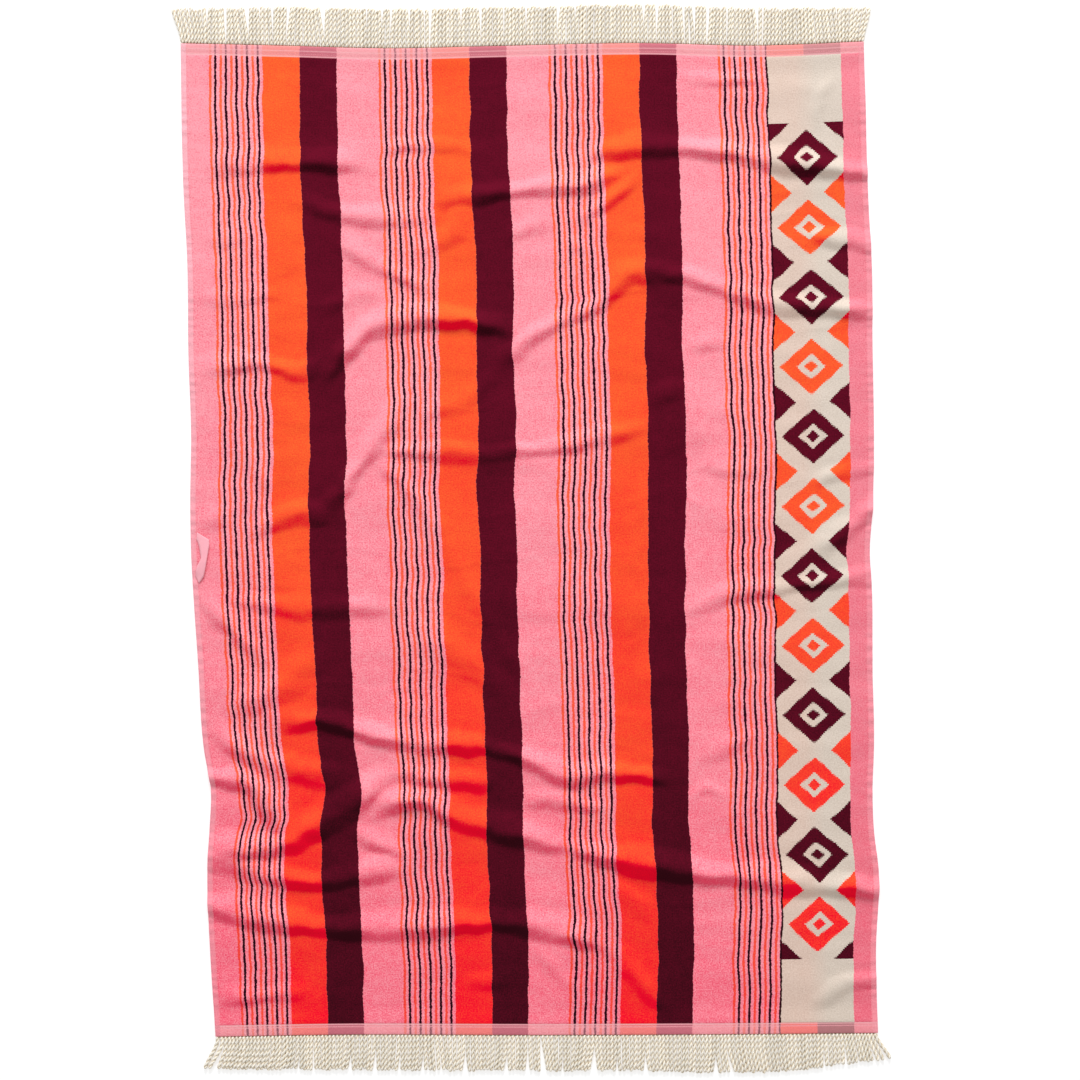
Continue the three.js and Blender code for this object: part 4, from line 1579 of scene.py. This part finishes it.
@dataclass
class HangingLoop:
    """A narrow tape caught in the left side hem, with a mitred corner."""

    cloth: TowelCloth
    sections: tuple[LoopSection, ...] = LOOP_SECTIONS
    thickness: float = 0.9
    crown: float = 0.35
    steps_between: int = 5
    steps_across: int = 6
    flat_size: Point2 = (0.0105, 0.092)

    def build(self) -> bpy.types.Object:
        """Make the tape's closed mesh with its flat UV map."""
        keys = np.arange(len(self.sections), dtype=float)
        fine = np.linspace(0, len(self.sections) - 1, (len(self.sections) - 1) * self.steps_between + 1)
        columns = [(*s.inner, *s.outer, s.inner_lift, s.outer_lift) for s in self.sections]
        inner_x, inner_y, outer_x, outer_y, inner_lift, outer_lift = (
            np.interp(fine, keys, [row[i] for row in columns])[:, None] for i in range(6)
        )
        share = np.linspace(0, 1, self.steps_across + 1)
        x = inner_x * (1 - share) + outer_x * share
        y = inner_y * (1 - share) + outer_y * share
        lift = inner_lift * (1 - share) + outer_lift * share
        low = self._cloth_top(x, y) + lift + self.crown * np.sin(math.pi * share)
        flat_v = np.concatenate([[0], np.cumsum(np.hypot(np.diff(x.mean(1)), np.diff(y.mean(1))))])
        flat = np.stack(np.broadcast_arrays(share * self.flat_size[0], flat_v[:, None] * MM), axis=-1)
        plan = np.stack([x, y], axis=-1) + self.cloth.shift
        layers = [np.dstack([plan, low + extra]).reshape(-1, 3) for extra in (0.0, self.thickness)]

        numbers = np.arange(x.size).reshape(x.shape)
        quads, rim = grid_quads(numbers), grid_rim(numbers)
        after = np.roll(rim, -1)
        wall = np.stack([rim, rim + x.size, after + x.size, after], axis=1)
        polygons = [quads, quads[:, ::-1] + x.size, wall]
        piece = mesh_object("hanging_loop", np.concatenate(layers) * MM, polygons)
        orient_outward(piece)
        flat_uv(piece, np.tile(flat.reshape(-1, 2), (2, 1)))
        piece.data.materials.append(WovenTape("loop_tape", linear(255, 178, 190)).make())
        shade_smooth(piece)
        return piece

    def _cloth_top(self, x: Array, y: Array) -> Array:
        """Height of the cloth's face under plan places near the left hem, in mm."""
        keys = [station.y for station in STATIONS]
        left = smooth_between(keys, [station.left for station in STATIONS], y)
        low_edge = End.BOTTOM.edge(x)
        v = (y - low_edge) / (End.TOP.edge(x) - low_edge) * self.cloth.plan.length
        return self.cloth.surface(np.clip(x - left, 0, None), v)[3]


@dataclass
class HemStitching:
    """Lockstitch along the side hems and across the end hems."""

    cloth: TowelCloth
    stitch: float = 3.3
    thread: float = 0.34
    above_cloth: float = 0.1
    from_corner: float = 6.0
    points_along: int = 420
    points_across: int = 300

    def build(self, material: bpy.types.Material) -> bpy.types.Object:
        """Make all the stitches as one mesh, by Geometry Nodes along the seam lines."""
        plan, size = self.cloth.plan, self.cloth.sizes
        along = np.linspace(self.from_corner, plan.length - self.from_corner, self.points_along)
        across = np.linspace(self.from_corner, plan.width - self.from_corner, self.points_across)
        seams = [
            (np.full_like(along, size.side_hem), along),
            (np.full_like(along, plan.width - size.side_hem), along),
            (across, np.full_like(across, size.end_seam)),
            (across, np.full_like(across, plan.length - size.end_seam)),
        ]
        lines = []
        for u, v in seams:
            x, y, _, high = self.cloth.surface(u, v)
            over = high + self.above_cloth
            lines.append(np.stack([x + self.cloth.shift[0], y + self.cloth.shift[1], over], axis=1) * MM)
        values = {"stitch": self.stitch * MM, "thread": self.thread * MM, "Material": material}
        return apply_tree(lines_object("hem_stitching", lines), self._tree(), values)

    @staticmethod
    def _tree() -> bpy.types.NodeTree:
        """Nodes that lay one rounded stitch after another along each line."""
        graph, given = new_tree("stitch_line", [("stitch", "Float"), ("thread", "Float")])
        stitch, thread = given.output("stitch"), given.output("thread")
        line = graph.node("GeometryNodeMeshToCurve", {}, {"Mesh": given})
        inputs = {"Curve": line, "Length": stitch}
        line = graph.node("GeometryNodeResampleCurve", {"mode": "LENGTH"}, inputs)
        bead = graph.node("GeometryNodeMeshUVSphere", {}, {"Segments": 6, "Rings": 4, "Radius": 1.0})
        size = graph.node("ShaderNodeCombineXYZ", {}, {"X": thread, "Y": thread, "Z": stitch * 0.42})
        bead = graph.node("GeometryNodeTransform", {}, {"Geometry": bead, "Scale": size})
        tangent = {"Vector": graph.node("GeometryNodeInputTangent")}
        turn = graph.node("FunctionNodeAlignRotationToVector", {"axis": "Z"}, tangent)
        inputs = {"Points": line, "Instance": bead, "Rotation": turn}
        return end_tree(graph, given, graph.node("GeometryNodeInstanceOnPoints", {}, inputs))


@dataclass
class Studio:
    """The camera straight above, a pale floor and soft light from beyond the towel's top end."""

    shift: tuple[float, float]
    pixel: float = 1.4652 * MM
    frame_pixels: float = 1080.0
    lens: float = 100.0
    sensor: float = 36.0
    floor_half: float = 40.0
    floor_depth: float = -0.4 * MM
    key_place: tuple[float, float, float] = (0.0, 9.0, 5.2)
    key_size: float = 3.4
    key_power: float = 860.0
    surround: float = 0.62

    def build_camera(self) -> bpy.types.Object:
        """Camera that looks straight down on the frame's middle, +Y up in the picture."""
        data = bpy.data.cameras.new("overhead")
        data.lens = self.lens
        data.sensor_width = self.sensor
        data.clip_end = 50.0
        camera = add_object("overhead", data)
        height = self.frame_pixels * self.pixel * self.lens / self.sensor
        camera.location = (self.shift[0] * MM, self.shift[1] * MM, height)
        bpy.context.scene.camera = camera
        return camera

    def build_floor(self) -> bpy.types.Object:
        """Plain pale floor just under the towel."""
        half = self.floor_half
        corners = ((-half, -half), (half, -half), (half, half), (-half, half))
        points = np.array([(x, y, self.floor_depth) for x, y in corners])
        floor = mesh_object("floor", points, [np.array([(0, 1, 2, 3)])])
        material, graph, shader = new_material("pale_floor")
        place = graph.node("ShaderNodeTexCoord", {}).output("Object")
        tone = graph.noise(place, 3.0)
        colour = graph.mix(tone, linear(186, 186, 186), linear(189, 189, 189))
        plug(graph, shader, Base_Color=colour, Roughness=0.9, Specular_IOR_Level=0.1)
        plug(graph, shader, Emission_Color=(1.0, 1.0, 1.0, 1.0), Emission_Strength=0.6)
        floor.data.materials.append(material)
        return floor

    def build_lights(self) -> None:
        """Large low key light far beyond the top end, and an even surround."""
        place = Vector(self.key_place)
        data = bpy.data.lights.new("key", "AREA")
        data.size = self.key_size
        data.energy = self.key_power
        light = add_object("key", data)
        light.location = place
        light.rotation_euler = (-place).to_track_quat("-Z", "Y").to_euler()
        world = bpy.data.worlds.new("surround")
        bpy.context.scene.world = world
        world.use_nodes = True
        background = world.node_tree.nodes["Background"]
        background.inputs["Color"].default_value = (1.0, 1.0, 1.0, 1.0)
        background.inputs["Strength"].default_value = self.surround


def own(piece: bpy.types.Object, slot: str, *nodes: str) -> None:
    """Tie a piece to the body and hide the solids it stands for; the finish slot is not used."""
    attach(piece, BODY)
    if nodes:
        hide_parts(*nodes)
    LOG.info("%s: %d faces", piece.name, len(piece.data.polygons))


def main() -> None:
    """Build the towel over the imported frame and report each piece."""
    logging.basicConfig(level=logging.INFO, format="%(name)s %(message)s")
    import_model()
    low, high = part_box("cloth")
    shift = (
        low[0] / MM - min(station.left for station in STATIONS),
        high[1] / MM - max(y for _, y in TOP_END),
    )
    studio = Studio(shift)
    studio.build_camera()
    studio.build_floor()
    studio.build_lights()
    bpy.context.scene.view_settings.view_transform = "Standard"

    cloth = TowelCloth(TowelPlan(), Wrinkles(), ClothSizes(), shift)
    sheet = cloth.build()
    cloth.dress(sheet)
    own(sheet, "velour", "cloth")

    rope_yarn = RopeYarn().make()
    heading = WovenTape("heading_tape", linear(238, 228, 205)).make()
    tree = RopeTree()
    ends = ((End.TOP, TOP_GAPS, TOP_REACH, 11), (End.BOTTOM, BOTTOM_GAPS, BOTTOM_REACH, 29))
    for end, gaps, reach, seed in ends:
        fringe = RopedFringe(end, gaps, reach, RopeSizes(), shift, seed)
        for piece in [*fringe.build_ropes(tree, rope_yarn), fringe.build_tape(heading)]:
            own(piece, "rope", f"fringe_{fringe.label}")

    loop = HangingLoop(cloth)
    loop_piece = loop.build()
    own(loop_piece, "loop_tape", "hang_loop")
    stitching = HemStitching(cloth).build(Thread().make())
    own(stitching, "velour")


if __name__ == "__main__":
    main()
